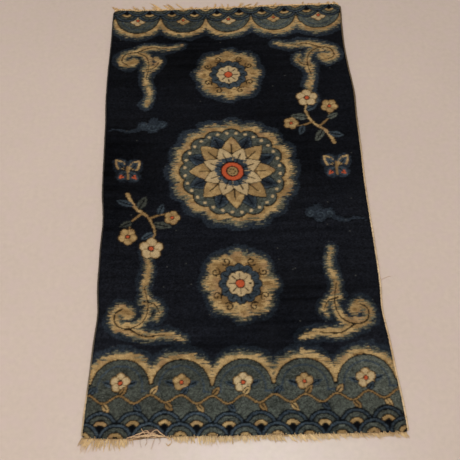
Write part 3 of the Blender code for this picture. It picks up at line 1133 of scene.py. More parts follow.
def make_rim_tufts():
    shares, ways = rim_shares()
    bm = rolled_tube(3, 5)
    piece, copy, along, turn = copies_of("pile_rim_tufts", bm, len(shares))
    chance = np.random.default_rng(29)
    inset = (TUFT_INSET + chance.uniform(-0.7, 0.5, len(shares))) * MM
    inner = shares - ways * inset[:, None] / np.array([RUG_WIDTH, RUG_LENGTH])
    root_x, root_y = plan(inner[:, 0], inner[:, 1])
    root_z = pile_height(inner[:, 0], inner[:, 1]) - TUFT_ROOT_DEPTH
    at_foot, at_head = ways[:, 1] < 0, ways[:, 1] > 0
    splay = np.where(at_head[:, None], HEAD_SPLAY, SIDE_SPLAY)
    splay = np.where(at_foot[:, None], FOOT_SPLAY, splay)
    out = splay[:, 0] + splay[:, 1] * chance.random(len(shares))
    sway = 0.5 * chance.uniform(-1, 1, len(shares))
    length = TUFT_LENGTH * chance.uniform(0.75, 1.1, len(shares))
    length *= 1 + FOOT_TUFTS_LONGER * at_foot * chance.random(len(shares)) ** 2
    sideways = np.column_stack([-ways[:, 1], ways[:, 0]])
    slope = ways * out[:, None] + sideways * sway[:, None]
    ahead = np.column_stack([slope, np.ones(len(shares))])
    ahead /= np.linalg.norm(ahead, axis=1, keepdims=True)
    root = np.column_stack([root_x, root_y, root_z])
    middle = root[copy] + ahead[copy] * (along * length[copy])[:, None]
    radius = TUFT_RADIUS * np.interp(along, (0, 0.33, 0.67, 1), (0.85, 1.0, 0.9, 0.35))
    lay_tubes(piece, middle, ahead[copy], radius, turn)
    colours = knot_colour[nearest_knot(shares)]
    colours[at_foot & (chance.random(len(shares)) < PALE_TUFTS)] = PALE_WARP
    keep_colour(piece.data, "dye", "POINT", colours[copy])
    return piece


rim_tufts = make_rim_tufts()
print("rim tufts:", triangles_in(rim_tufts), "triangles")

# %% [markdown]
# ## The overcast sides
# Each long side is a bundle of warps wrapped round and round with straw yarn, so that it looks like
# a thin cord with a fine screw thread. A spin would make a perfect screw, but this cord follows the
# uneven side of the rug. So it is a long rolled grid, with three rings of corners for each wrap, and
# its radius swells and sinks with the wraps and with the wear.

# %% A cord that follows one side
LEFT_CORD_RADIUS = 2.2 * MM
RIGHT_CORD_RADIUS = 2.6 * MM
CORD_INSET = 1.0 * MM
CORD_SIDES = 9
WRAP_PITCH = 2.1 * MM
RINGS_A_WRAP = 3
WRAP_SWELL = 0.14
CORD_WEAR = 0.15
CORD_WANDER = 0.35 * MM
CORD_END = 1.2 * MM
CAD_CORD_SIDES = 8
FLECKS = 0.55
# How much painted shade darkens each cord, where the rug's edge hides it. Columns: share of the length from
# the foot, share of painted shade
RIGHT_CORD_SHADE = ((0.0, 0.0), (0.50, 0.0), (0.60, 0.5), (0.68, 0.93), (1.0, 0.98))
LEFT_CORD_SHADE = ((0.0, 0.0), (0.050, 0.0), (0.085, 0.75), (0.20, 0.92), (1.0, 0.98))
TANGENT_STEP = 0.001


def side_run(side, along):
    """The middle of a side's edge at many shares of the length, and the way out of the rug."""
    share = np.full(along.shape, float(side > 0))
    ahead = np.column_stack(plan(share, np.minimum(along + TANGENT_STEP, 1)))
    behind = np.column_stack(plan(share, np.maximum(along - TANGENT_STEP, 0)))
    run = ahead - behind
    run /= np.linalg.norm(run, axis=1, keepdims=True)
    out = np.column_stack([run[:, 1], -run[:, 0]]) * side
    return np.column_stack(plan(share, along)), run, out


def make_overcast(name, side, radius, hidden_shade, seed):
    wraps = int(RUG_LENGTH / WRAP_PITCH)
    bm = rolled_tube(wraps * RINGS_A_WRAP, CORD_SIDES)
    cord = new_piece(name, bm)
    mesh = cord.data
    flat = places_of(mesh)
    inset = (CORD_INSET + CORD_END) / RUG_LENGTH
    along = inset + (1 - 2 * inset) * flat[:, 0]
    edge, run, out = side_run(side, along)
    around = np.arctan2(flat[:, 2], flat[:, 1])
    turns = flat[:, 0] * wraps
    wrap = WRAP_SWELL * np.cos(2 * math.pi * turns - around * side)
    wear = 1 + CORD_WEAR * wander(along, seed, 10, 9.0)
    ends = np.clip(np.minimum(flat[:, 0], 1 - flat[:, 0]) * wraps / 2, 0, 1) ** 0.5
    thick = radius * (1 + wrap) * wear * (0.35 + 0.65 * ends)
    middle = radius * math.cos(math.pi / CAD_CORD_SIDES)
    far = middle + SEAT_GAP + CORD_WANDER * wander(along, seed + 1, 8, 12.0)
    outward = far + thick * np.cos(around)
    height = middle + thick * np.sin(around)
    places = np.column_stack([edge + out * outward[:, None], np.maximum(height, FLOOR_LIFT)])
    keep_value(mesh, "wrap", turns - around * side / (2 * math.pi))
    keep_value(mesh, "fade", 0.5 + 0.5 * wander(along, seed + 2, 6, 2.0))
    flecks = FLECKS * np.clip(1.6 * wander(along, seed + 4, 6, 60.0) - 0.3, 0, 1)
    # Painted shade where the rug's edge hides the cord, and darker flecks in the yarn
    soil_and_shade = np.interp(along + 0.01 * wander(along, seed + 3), *zip(*hidden_shade))
    keep_value(mesh, "soil_and_shade", np.maximum(soil_and_shade, flecks))
    move_to(mesh, places)
    if side > 0:
        mesh.flip_normals()
    return cord


cord_left = make_overcast("overcast_left", -1, LEFT_CORD_RADIUS, LEFT_CORD_SHADE, 41)
cord_right = make_overcast("overcast_right", 1, RIGHT_CORD_RADIUS, RIGHT_CORD_SHADE, 51)
print("overcast sides:", triangles_in(cord_left), "triangles each")

# %% [markdown]
# ## The ends
# Past the last row of knots the weft goes on for a few passes as a narrow flat web, and then the
# warps come out of it as fringe. In the photograph the fringe is worn: dense and long at the left of
# the foot, gone at one spot and short elsewhere. At the head only thin locks are left: those at the
# left lean far over to the left, and those further on stand up or lean right.
# Each lock is several cotton yarns with a cloud of fine hairs. Hair particles would give as many
# strands, but they leave no mesh to export, so both are tubes laid along curves on the floor.

# %% Measures of the webs and the fringe. FOOT_FRINGE is the CAD model's own table
# Pairs hold the foot's value and then the head's, and at_head picks one
OUTWARD = (-1, 1)
WEB_DEPTHS = (4.5 * MM, 11.0 * MM)
# Where each web starts and stops, in metres in from the left and the right side
WEB_ENDS = ((-0.002, 0.002), (-0.001, 0.003))
STRIP_HEIGHT = 2.4 * MM
LOCKS_PER_END = 120
LOCK_SPREAD = 1.1
# Columns: share of the width, lock length, lean sideways for each millimetre out
FOOT_FRINGE = (
    (0.00, 27.0, -0.38),
    (0.06, 24.0, -0.20),
    (0.14, 21.0, 0.05),
    (0.22, 13.0, 0.18),
    (0.30, 14.0, 0.22),
    (0.37, 20.0, 0.05),
    (0.44, 18.0, -0.02),
    (0.50, 16.0, -0.08),
    (0.66, 15.0, 0.06),
    (0.82, 13.0, 0.14),
    (0.94, 12.0, 0.20),
    (1.00, 15.0, 0.42),
)
# The locks drawn at the head. Columns: share of the width, length out, reach sideways, width, yarns
HEAD_LOCKS = (
    (0.004, 13.0, -11.0, 6.0, 9),
    (0.016, 10.0, -9.0, 7.0, 8),
    (0.040, 6.0, -7.0, 6.0, 6),
    (0.070, 4.0, -6.0, 6.0, 5),
    (0.096, 17.0, -12.0, 3.0, 6),
    (0.104, 14.0, -4.0, 3.0, 4),
    (0.135, 16.0, -6.0, 3.0, 5),
    (0.160, 3.0, 4.0, 8.0, 5),
    (0.204, 30.0, -29.0, 4.5, 14),
    (0.209, 13.0, -31.0, 3.5, 7),
    (0.249, 19.0, -21.0, 5.0, 12),
    (0.264, 23.0, -21.0, 5.0, 12),
    (0.305, 27.0, -22.0, 3.5, 7),
    (0.345, 12.0, -4.0, 7.0, 8),
    (0.375, 3.0, -5.0, 8.0, 5),
    (0.409, 11.0, 4.0, 3.5, 5),
    (0.445, 19.0, 3.0, 5.5, 9),
    (0.483, 17.0, -4.0, 3.0, 5),
    (0.506, 16.0, 1.0, 4.5, 6),
    (0.530, 3.0, 4.0, 8.0, 5),
    (0.557, 19.0, 10.0, 6.5, 12),
    (0.581, 13.0, 19.0, 4.0, 9),
    (0.624, 20.0, 10.0, 4.5, 8),
    (0.650, 5.0, 26.0, 4.0, 7),
    (0.680, 4.0, 18.0, 6.0, 6),
    (0.712, 13.0, 9.0, 4.5, 8),
    (0.745, 8.0, 4.0, 5.0, 6),
    (0.790, 4.0, 5.0, 8.0, 5),
    (0.841, 14.0, 2.0, 5.0, 7),
    (0.880, 4.0, 5.0, 8.0, 6),
    (0.913, 8.0, 4.0, 6.0, 6),
    (0.955, 10.0, 3.0, 8.0, 10),
    (0.985, 9.0, -2.0, 8.0, 9),
)
# How much of the foot's fringe is left. Columns: share of the width, share of the yarns still there
FOOT_WEAR = (
    (0.000, 1.00),
    (0.060, 1.00),
    (0.070, 0.45),
    (0.080, 1.00),
    (0.132, 1.00),
    (0.146, 0.40),
    (0.172, 0.20),
    (0.180, 0.03),
    (0.262, 0.03),
    (0.285, 0.55),
    (0.320, 0.80),
    (0.350, 0.55),
    (0.370, 1.00),
    (0.520, 1.00),
    (0.532, 0.35),
    (0.545, 1.00),
    (0.610, 0.95),
    (0.622, 0.45),
    (0.650, 0.70),
    (0.680, 1.00),
    (0.850, 1.00),
    (0.862, 0.45),
    (0.875, 1.00),
    (0.950, 0.85),
    (0.962, 0.30),
    (0.972, 0.90),
    (1.000, 0.80),
)
# How much further the foot's yarns lean than the CAD locks. Columns: share of the width, lean
YARN_LEAN = ((0.0, 0.0), (0.46, 0.0), (0.60, 0.40), (0.90, 0.55), (0.96, 0.45), (1.0, 0.10))
LOCKS_STRAY = 0.30
# How much the foot's locks differ in length and in how many yarns are left
LOCKS_VARY = (0.62, 1.16)
LOCKS_THIN = (0.55, 1.30)
# How thin the foot's web has worn. Columns: share of the width, share of its depth left
WEB_WEAR = ((0.0, 1.0), (0.15, 1.0), (0.19, 0.35), (0.25, 0.35), (0.29, 0.9), (1.0, 1.0))


def end_line(part, at_head):
    """At many parts of a web's length: the share of the rug's width, and x and y of the pile's edge."""
    start, stop = WEB_ENDS[at_head]
    share = start / RUG_WIDTH + (1 - (start + stop) / RUG_WIDTH) * part
    left, right, foot, head = edges_at(share, float(at_head))
    return share, left + (right - left) * share, head if at_head else foot


# %% The narrow web of weft at each end
WEFT_PASSES = 4
WEB_SIDES = 14
WEB_CELL = 1.3 * MM
WEB_CURL = 2.2 * MM
WEB_FRAY = 0.5 * MM


def make_web(name, at_head, seed):
    """A flat band, rolled from a grid, with one ridge for each pass of weft."""
    stations = int(RUG_WIDTH / WEB_CELL)
    web = new_piece(name, rolled_tube(stations, WEB_SIDES))
    mesh = web.data
    flat = places_of(mesh)
    share, x, edge = end_line(flat[:, 0], at_head)
    part = 0.5 + 0.5 * np.sign(flat[:, 1]) * np.abs(flat[:, 1]) ** 0.7
    ridge = np.cos(2 * math.pi * WEFT_PASSES * part + 2.2 * wander(share, seed, 6, 9.0))
    crown = np.sign(flat[:, 2]) * np.abs(flat[:, 2]) ** 0.45
    thick = STRIP_HEIGHT / 2 * (0.80 + 0.10 * ridge + 0.08 * wander(share, seed + 1, 9, 14.0))
    z = STRIP_HEIGHT / 2 * 0.92 + thick * crown
    if at_head:
        z = z + WEB_CURL * (1 - part) ** 2 * (0.6 + 0.4 * wander(share, seed + 4, 6, 5.0))
    left = 1.0 if at_head else np.interp(share, *zip(*WEB_WEAR))
    frayed = WEB_FRAY * wander(share, seed + 2, 9, 21.0) * part
    y = edge + OUTWARD[at_head] * (SEAT_GAP + part * WEB_DEPTHS[at_head] * left + frayed)
    keep_value(mesh, "wrap", share * stations / 2 + part)
    keep_value(mesh, "fade", 0.5 + 0.5 * wander(share, seed + 3, 6, 3.0))
    keep_value(mesh, "soil_and_shade", np.clip(1.5 * (0.95 - left), 0, 0.9) * np.ones(len(x)))
    move_to(mesh, np.column_stack([x, y, np.maximum(z, FLOOR_LIFT)]))
    if not at_head:
        mesh.flip_normals()
    return web


web_foot = make_web("web_foot", False, 61)
web_head = make_web("web_head", True, 71)
print("end webs:", triangles_in(web_foot), "triangles each")

# %% [markdown]
# A yarn of the fringe starts inside the web, or just inside the pile's edge, drops to the floor and
# wanders off with its lock. At the foot the yarns lean more to the right the further right they
# are. The hairs do the same, only thinner and further apart. One function makes both.

# %% The locks: one row of numbers for each
def foot_locks(seed):
    """Evenly spaced locks. Columns: share of the width, out, sideways, width, share of yarns left."""
    chance = np.random.default_rng(seed)
    share = np.arange(LOCKS_PER_END) + 0.5 + 0.2 * chance.uniform(-1, 1, LOCKS_PER_END)
    share = share / LOCKS_PER_END
    out = read_table(FOOT_FRINGE, share, 1) * chance.uniform(*LOCKS_VARY, LOCKS_PER_END)
    lean = read_table(FOOT_FRINGE, share, 2) + np.interp(share, *zip(*YARN_LEAN))
    lean = lean + LOCKS_STRAY * chance.uniform(-1, 1, LOCKS_PER_END)
    width = np.full(LOCKS_PER_END, RUG_WIDTH / MM / LOCKS_PER_END * LOCK_SPREAD)
    left = np.interp(share, *zip(*FOOT_WEAR)) * chance.uniform(*LOCKS_THIN, LOCKS_PER_END)
    return np.column_stack([share, out, lean * out, width, left])


STUBS = 34
STUB_WIDTH = 3.5
STUB_YARNS = 3


def head_locks(seed):
    """The drawn locks of the head, and short stubs between them. The last column counts yarns."""
    chance = np.random.default_rng(seed)
    share = chance.random(STUBS) ** 1.2
    out = chance.uniform(3, 9, STUBS)
    sideways = chance.uniform(-7, 1, STUBS) + 7 * share
    stubs = [share, out, sideways, np.full(STUBS, STUB_WIDTH), np.full(STUBS, STUB_YARNS)]
    return np.concatenate([np.array(HEAD_LOCKS), np.column_stack(stubs)])


def thinned(locks, per_lock, chance):
    """The lock that each strand belongs to, once the worn ones are gone."""
    lock = np.repeat(np.arange(len(locks)), per_lock)
    return lock[chance.random(len(lock)) < locks[lock, 4]]


# %% Yarns and hairs of the fringe
# Lengths in metres. spread is how far yarns of one lock differ in direction, reach in length
YARN = dict(radius=0.74 * MM, stations=8, sides=5, spread=0.42, curl=1.8 * MM, reach=(0.50, 1.08))
HAIR = dict(radius=0.15 * MM, stations=6, sides=3, spread=0.50, curl=2.4 * MM, reach=(0.40, 1.15))
LONG = dict(radius=0.72 * MM, stations=10, sides=5, spread=0.10, curl=1.8 * MM, reach=(0.75, 1.12))
FUZZ = dict(radius=0.14 * MM, stations=6, sides=3, spread=0.40, curl=2.0 * MM, reach=(0.35, 1.10))
BOW = 0.35
# A lock is pinched to as little as half its width, over this share of its length
PINCH = 0.5
PINCH_REACH = 0.62
RIPPLE = 0.5 * MM
YARN_TWIST = 1.6 * MM
# Where the strands start in the web, as shares of its depth, at the foot and at the head
ROOT_DEPTHS = ((-0.30, 0.50), (0.45, 0.90))


def make_strands(name, at_head, locks, lock, kind, seed):
    """One tube for each number in lock, which says the row of locks that it belongs to."""
    chance = np.random.default_rng(seed)
    count = len(lock)
    place = chance.uniform(-0.5, 0.5, count) * locks[lock, 3] * MM
    reach = chance.uniform(*kind["reach"], count) * MM
    lean = kind["spread"] * chance.uniform(-1, 1, count)
    _, x, edge = end_line(locks[lock, 0], at_head)
    piece, copy, along, turn = copies_of(name, rolled_tube(kind["stations"], kind["sides"]), count)
    out = (locks[lock, 1] * reach)[copy] * along
    sideways = (locks[lock, 2] * reach)[copy] * along
    # A lock leaves the web nearly straight and bows over sideways towards its tip
    sideways = sideways * (1 - BOW + BOW * along) + lean[copy] * out
    pinched = np.sin(math.pi * np.clip(along, 0, PINCH_REACH) / PINCH_REACH)
    pinch = 1 - PINCH * pinched * chance.random(len(locks))[lock][copy]
    wave = along * chance.uniform(2, 6, count)[copy] + chance.uniform(0, 6, count)[copy]
    sway = kind["curl"] * chance.uniform(-1, 1, count)[copy] * np.sin(wave)
    root = SEAT_GAP + WEB_DEPTHS[at_head] * chance.uniform(*ROOT_DEPTHS[at_head], count)
    middle_x = x[copy] + place[copy] * pinch + sideways + sway * along
    middle_y = edge[copy] + OUTWARD[at_head] * (root[copy] + out)
    stack = chance.uniform(0.1, 0.9, count)[copy]
    drop = np.clip(1 - along * 1.5, 0, 1) ** 1.3
    ripple = RIPPLE * np.abs(np.sin(along * 7 + wave)) * along
    middle_z = kind["radius"] * 1.05 + STRIP_HEIGHT * (0.70 + 0.45 * stack) * drop + ripple * stack
    middle = np.column_stack([middle_x, middle_y, middle_z])
    direction = (locks[lock, 2] / locks[lock, 1])[copy] + lean[copy]
    ahead = np.column_stack([direction, np.full(len(along), OUTWARD[at_head]), np.zeros(len(along))])
    taper = kind["radius"] * np.interp(along, (0, 0.6, 1), (1.0, 0.9, 0.35))
    lay_tubes(piece, middle, ahead, taper * chance.uniform(0.75, 1.2, count)[copy], turn)
    keep_value(piece.data, "wrap", along * out.max() / YARN_TWIST)
    tone = 0.5 * chance.random(count) + 0.5 * chance.random(len(locks))[lock]
    keep_value(piece.data, "fade", tone[copy] ** 1.5)
    return piece


# %% Both fringes. The head's table says how many yarns each lock has
HEAD_HAIRS = 5
FOOT_YARNS = 10
FOOT_HAIRS = 5
chance = np.random.default_rng(80)
locks_foot = foot_locks(79)
locks_head = head_locks(83)
own_yarns = np.repeat(np.arange(len(locks_head)), locks_head[:, 4].astype(int))
own_hairs = np.repeat(np.arange(len(locks_head)), HEAD_HAIRS)
yarns_left = thinned(locks_foot, FOOT_YARNS, chance)
hairs_left = thinned(locks_foot, FOOT_HAIRS, chance)
yarns_foot = make_strands("fringe_foot_yarns", False, locks_foot, yarns_left, YARN, 81)
hairs_foot = make_strands("fringe_foot_hairs", False, locks_foot, hairs_left, HAIR, 82)
yarns_head = make_strands("fringe_head_yarns", True, locks_head, own_yarns, LONG, 91)
hairs_head = make_strands("fringe_head_hairs", True, locks_head, own_hairs, FUZZ, 92)
for strands in (yarns_foot, hairs_foot, yarns_head, hairs_head):
    print(strands.name, triangles_in(strands), "triangles")

# %% [markdown]
# ## Loose threads
# At the worn spot of the foot, broken warps and weft lie tangled over the edge of the pile, and one
# thread sticks out at the right side. Their routes were chosen one by one: each is a few points in
# millimetres, and its height follows whatever it lies on.

# %% Threads that lie over the pile and the floor
# Each thread: its radius in millimetres, and points in millimetres from the rug's middle
TANGLE = (
    (0.55, (-250, -639), (-241, -637), (-233, -634), (-223, -631), (-212, -629), (-199, -631), (-184, -634)),
    (0.45, (-203, -636), (-198, -630), (-193, -626), (-187, -624), (-178, -632), (-165, -640), (-158, -643)),
    (0.34, (-219, -621), (-213, -629), (-208, -636), (-205, -641)),
    (0.60, (-236, -637), (-222, -636), (-205, -634), (-186, -636), (-168, -638)),
    (0.55, (-240, -640), (-226, -638), (-210, -636), (-194, -639), (-176, -637)),
    (0.40, (-168, -637), (-158, -640), (-157, -648), (-164, -655), (-168, -650)),
    (0.36, (-226, -636), (-216, -627), (-207, -625), (-198, -633), (-189, -631)),
    (0.32, (-212, -640), (-203, -632), (-193, -630), (-186, -637), (-181, -645)),
    (0.14, (-191, -639), (-194, -648), (-198, -662)),
    (0.13, (-222, -638), (-223, -649), (-220, -657)),
    (0.13, (-210, -638), (-208, -647), (-211, -655)),
    (0.12, (-181, -638), (-180, -646), (-183, -653)),
)
STRAY = (0.34, (330, -292), (337, -288), (346, -283), (356, -279), (364, -278))
THREAD_STATIONS = 40
THREAD_SIDES = 6
PLIES = 3
PLY_SPREAD = 1.2
END_INSET = 0.006
EASE_PAST = 5 * MM
EASE_OVER = 7 * MM
THREAD_LIFT = 0.5 * MM
THREAD_WAVES = 0.9 * MM
THREAD_STEP = 0.01
THREAD_TURNS = 40


def resting_height(x, y):
    """The height of what lies at a place: the pile, easing down to the floor past its edge."""
    along = (y + RUG_LENGTH / 2) / RUG_LENGTH
    left, right, foot, head = edges_at((x + RUG_WIDTH / 2) / RUG_WIDTH, along)
    across = np.clip((x - left) / (right - left), 0, 1)
    inside = np.minimum(np.minimum(x - left, right - x), np.minimum(y - foot, head - y))
    ease = eased(share_above(inside, -EASE_PAST, EASE_OVER))
    return pile_height(across, np.clip(along, END_INSET, 1 - END_INSET)) * ease


def loosened(threads, seed):
    """Each thread as a few plies that have sprung a little apart."""
    chance = np.random.default_rng(seed)
    plies = []
    for thick, *route in threads:
        for _ in range(PLIES):
            shifts = chance.uniform(-PLY_SPREAD, PLY_SPREAD, (len(route), 2))
            moved = [(x + dx, y + dy) for (x, y), (dx, dy) in zip(route, shifts)]
            plies.append((thick * chance.uniform(0.8, 1.5), *moved))
    return plies


def make_threads(name, threads, seed):
    piece, copy, along, turn = copies_of(name, rolled_tube(THREAD_STATIONS, THREAD_SIDES), len(threads))
    chance = np.random.default_rng(seed)
    middle = np.zeros((len(copy), 3))
    ahead = np.zeros((len(copy), 3))
    radius = np.zeros(len(copy))
    for number, (thick, *route) in enumerate(threads):
        mine = copy == number
        table = [(step / (len(route) - 1), *point) for step, point in enumerate(route)]
        for axis in (0, 1):
            near = read_table(table, along[mine], axis + 1) * MM
            past = read_table(table, np.minimum(along[mine] + THREAD_STEP, 1), axis + 1) * MM
            early = read_table(table, np.maximum(along[mine] - THREAD_STEP, 0), axis + 1) * MM
            middle[mine, axis] = near
            ahead[mine, axis] = past - early
        radius[mine] = thick * MM * np.interp(along[mine], (0, 0.1, 0.9, 1), (0.5, 1, 0.9, 0.35))
        waves = THREAD_WAVES * np.abs(np.sin(along[mine] * 9 + chance.random() * 6))
        middle[mine, 2] = resting_height(middle[mine, 0], middle[mine, 1]) + THREAD_LIFT + waves
    lay_tubes(piece, middle, ahead, radius, turn)
    keep_value(piece.data, "wrap", along * THREAD_TURNS)
    keep_value(piece.data, "fade", chance.random(len(threads))[copy])
    return piece


tangle = make_threads("loose_tangle", loosened(TANGLE, 94), 95)
stray = make_threads("stray_thread", (STRAY,), 97)
print("loose threads:", triangles_in(tangle) + triangles_in(stray), "triangles")

# %% [markdown]
# ## Finishes
# Wool and cotton here share three things: short fibres that break up the colour, a little dust, and
# ridges where the yarn is knotted or wrapped. Each is a node group, built once, that puts out only
# masks and heights. The Principled shader stays in each material, with its constant values on its
# own sockets.

# %% A short way to build node trees
def new_group(name, inputs, outputs):
    """A shader node group with float or vector inputs, given as name to (kind, default)."""
    group = bpy.data.node_groups.new(name, "ShaderNodeTree")
    for label, (kind, default) in inputs.items():
        socket = group.interface.new_socket(label, in_out="INPUT", socket_type=f"NodeSocket{kind}")
        if default is not None:
            socket.default_value = default
    for label, kind in outputs.items():
        group.interface.new_socket(label, in_out="OUTPUT", socket_type=f"NodeSocket{kind}")
    return group, group.nodes.new("NodeGroupInput"), group.nodes.new("NodeGroupOutput")


def is_socket(value):
    return isinstance(value, bpy.types.NodeSocket)


def node(tree, kind, inputs=None, **settings):
    """Adds a node, sets its properties, and sets or links its inputs."""
    made = tree.nodes.new(kind)
    for name, value in settings.items():
        setattr(made, name, value)
    for name, value in (inputs or {}).items():
        if is_socket(value):
            tree.links.new(value, made.inputs[name])
        else:
            made.inputs[name].default_value = value
    return made


def math_node(tree, operation, *inputs, clamp=False):
    """An operation on plain values, given in the order of the node's sockets."""
    inputs = dict(enumerate(inputs))
    return node(tree, "ShaderNodeMath", inputs, operation=operation, use_clamp=clamp).outputs[0]


def vector_node(tree, operation, *inputs):
    inputs = dict(enumerate(inputs))
    return node(tree, "ShaderNodeVectorMath", inputs, operation=operation).outputs[0]


def mapped(tree, value, low, high, new_low=0.0, new_high=1.0):
    inputs = {"Value": value, "From Min": low, "From Max": high, "To Min": new_low, "To Max": new_high}
    return node(tree, "ShaderNodeMapRange", inputs).outputs["Result"]


def noise(tree, vector, scale, detail=2.0, rough=0.5):
    inputs = {"Vector": vector, "Scale": scale, "Detail": detail, "Roughness": rough}
    return node(tree, "ShaderNodeTexNoise", inputs).outputs["Fac"]


# %% Group one: fibres, as a fine noise
def make_fibre_group():
    group, given, result = new_group(
        "Yarn fibres", {"Place": ("Vector", None), "Fineness": ("Float", 900.0)}, {"Value": "Float"}
    )
    fine = noise(group, given.outputs["Place"], given.outputs["Fineness"], 3.0, 0.65)
    group.links.new(mapped(group, fine, 0.28, 0.72), result.inputs["Value"])
    return group


# %% Group two: the round head of each knot, on the UV map that counts knots
def make_knot_group():
    group, given, result = new_group(
        "Knot heads", {"Knots": ("Vector", None)}, {"Height": "Float", "Gap": "Float", "Chance": "Float"}
    )
    cell = vector_node(group, "FRACTION", given.outputs["Knots"])
    parts = node(group, "ShaderNodeSeparateXYZ", {0: vector_node(group, "SUBTRACT", cell, (0.5, 0.5, 0.5))})
    # Two tufts stand side by side in each knot, so the bumps are half as wide as they are long
    wide = math_node(group, "PINGPONG", math_node(group, "ADD", parts.outputs["X"], 0.5), 0.25)
    wide = math_node(group, "MULTIPLY", math_node(group, "SUBTRACT", 0.125, wide), 3.0)
    long_squared = math_node(group, "POWER", parts.outputs["Y"], 2.0)
    both_squared = math_node(group, "ADD", long_squared, math_node(group, "POWER", wide, 2.0))
    far = math_node(group, "SQRT", both_squared)
    group.links.new(mapped(group, far, 0.0, 0.62, 1.0, 0.0), result.inputs["Height"])
    group.links.new(mapped(group, far, 0.34, 0.62), result.inputs["Gap"])
    number = vector_node(group, "FLOOR", given.outputs["Knots"])
    chance = node(group, "ShaderNodeTexWhiteNoise", {"Vector": number}, noise_dimensions="2D")
    group.links.new(chance.outputs["Value"], result.inputs["Chance"])
    return group


# %% Group three: a turned or wrapped yarn, from the attribute that counts its wraps
def make_wrap_group():
    group, given, result = new_group(
        "Yarn wraps", {"Wraps": ("Float", 0.0)}, {"Height": "Float", "Groove": "Float"}
    )
    part = math_node(group, "PINGPONG", given.outputs["Wraps"], 0.5)
    height = math_node(group, "POWER", math_node(group, "MULTIPLY", part, 2.0, clamp=True), 0.6)
    group.links.new(height, result.inputs["Height"])
    group.links.new(mapped(group, height, 0.0, 0.5, 1.0, 0.0), result.inputs["Groove"])
    return group


# %% Group four: dust and soil, in soft patches
def make_soil_group():
    group, given, result = new_group(
        "Soil", {"Place": ("Vector", None), "Amount": ("Float", 0.5)}, {"Mask": "Float"}
    )
    broad = noise(group, given.outputs["Place"], 9.0, 3.0)
    fine = noise(group, given.outputs["Place"], 70.0, 2.0)
    both = math_node(group, "MULTIPLY_ADD", fine, 0.4, math_node(group, "MULTIPLY", broad, 0.6))
    mask = math_node(group, "MULTIPLY", mapped(group, both, 0.42, 0.62), given.outputs["Amount"])
    group.links.new(mask, result.inputs["Mask"])
    return group


FIBRES = make_fibre_group()
KNOTS = make_knot_group()
WRAPS = make_wrap_group()
SOIL = make_soil_group()
print("node groups:", [group.name for group in (FIBRES, KNOTS, WRAPS, SOIL)])


# %% Material helpers
def new_material(name, roughness, specular, sheen=0.0, sheen_tint=(1.0, 1.0, 1.0)):
    material = bpy.data.materials.new(name)
    material.use_nodes = True
    tree = material.node_tree
    shader = tree.nodes["Principled BSDF"]
    shader.inputs["Roughness"].default_value = roughness
    shader.inputs["Specular IOR Level"].default_value = specular
    shader.inputs["Sheen Weight"].default_value = sheen
    shader.inputs["Sheen Roughness"].default_value = 0.5
    shader.inputs["Sheen Tint"].default_value = (*sheen_tint, 1.0)
    return material, tree, shader


def use_group(tree, group, **inputs):
    return node(tree, "ShaderNodeGroup", inputs, node_tree=group).outputs


def blend_colours(tree, first, second, share, mode="MIX"):
    """Mixes two colours. The Mix node's colour sockets are its inputs 6 and 7 and its output 2."""
    first, second = (value if is_socket(value) else (*value, 1.0) for value in (first, second))
    inputs = {6: first, 7: second, 0: share}
    return node(tree, "ShaderNodeMix", inputs, data_type="RGBA", blend_type=mode).outputs[2]


def multiplied(tree, colour, shade):
    """A colour made paler or darker by a shade round 1."""
    grey = node(tree, "ShaderNodeCombineColor", {0: shade, 1: shade, 2: shade}).outputs[0]
    return blend_colours(tree, colour, grey, 1.0, "MULTIPLY")


def attribute(tree, name, output="Fac"):
    return node(tree, "ShaderNodeAttribute", attribute_name=name).outputs[output]


def own_place(tree):
    return node(tree, "ShaderNodeTexCoord").outputs["Object"]


def finish_surface(tree, shader, colour, height, strength, distance):
    """Links a colour and a relief, which both change over the surface, to the shader."""
    tree.links.new(colour, shader.inputs["Base Color"])
    inputs = {"Height": height, "Strength": strength, "Distance": distance}
    relief = node(tree, "ShaderNodeBump", inputs)
    tree.links.new(relief.outputs["Normal"], shader.inputs["Normal"])


# %% [markdown]
# ### Wool
# Wool pile swallows light between its tufts and shines very little, which is why indigo looks nearly
# black from above. The colour of the knot comes from the mesh. The gaps between knots are darker,
# the fibres change the shade by a tenth, and a little dust greys the tips.

# %% Wool pile
DUST = (0.085, 0.078, 0.066)
WOOL_SHEEN = 0.008
WOOL_SHEEN_TINT = (0.75, 0.80, 0.90)


def make_wool(name, bump=0.0008, dust=0.015, gap_shade=0.38):
    material, tree, shader = new_material(name, 0.95, 0.02, WOOL_SHEEN, WOOL_SHEEN_TINT)
    place = own_place(tree)
    dye = attribute(tree, "dye", "Color")
    counted = node(tree, "ShaderNodeUVMap", uv_map="knots").outputs["UV"]
    # The rows of knots are bent a little, so that no tuft stands exactly in line
    bends = node(tree, "ShaderNodeTexNoise", {"Vector": counted, "Scale": 0.6, "Detail": 1.0})
    counted = vector_node(tree, "MULTIPLY_ADD", bends.outputs["Color"], (0.9, 0.9, 0.9), counted)
    knots = use_group(tree, KNOTS, Knots=counted)
    fibres = use_group(tree, FIBRES, Place=place, Fineness=1100.0)["Value"]
    shade = mapped(tree, fibres, 0.0, 1.0, 0.78, 1.22)
    lost = mapped(tree, knots["Gap"], 0.0, 1.0, 1.0, 1.0 - gap_shade)
    shade = math_node(tree, "MULTIPLY", shade, lost)
    shade = math_node(tree, "MULTIPLY", shade, mapped(tree, knots["Chance"], 0.0, 1.0, 0.9, 1.1))
    soil_and_shade = use_group(tree, SOIL, Place=place, Amount=dust)["Mask"]
    colour = blend_colours(tree, multiplied(tree, dye, shade), DUST, soil_and_shade)
    height = math_node(tree, "MULTIPLY_ADD", fibres, 0.45, knots["Height"])
    finish_surface(tree, shader, colour, height, 0.8, bump)
    return material


# %% The back: knot collars between pale weft
WEFT = (0.30, 0.24, 0.15)
BACK_RELIEF = 0.0007


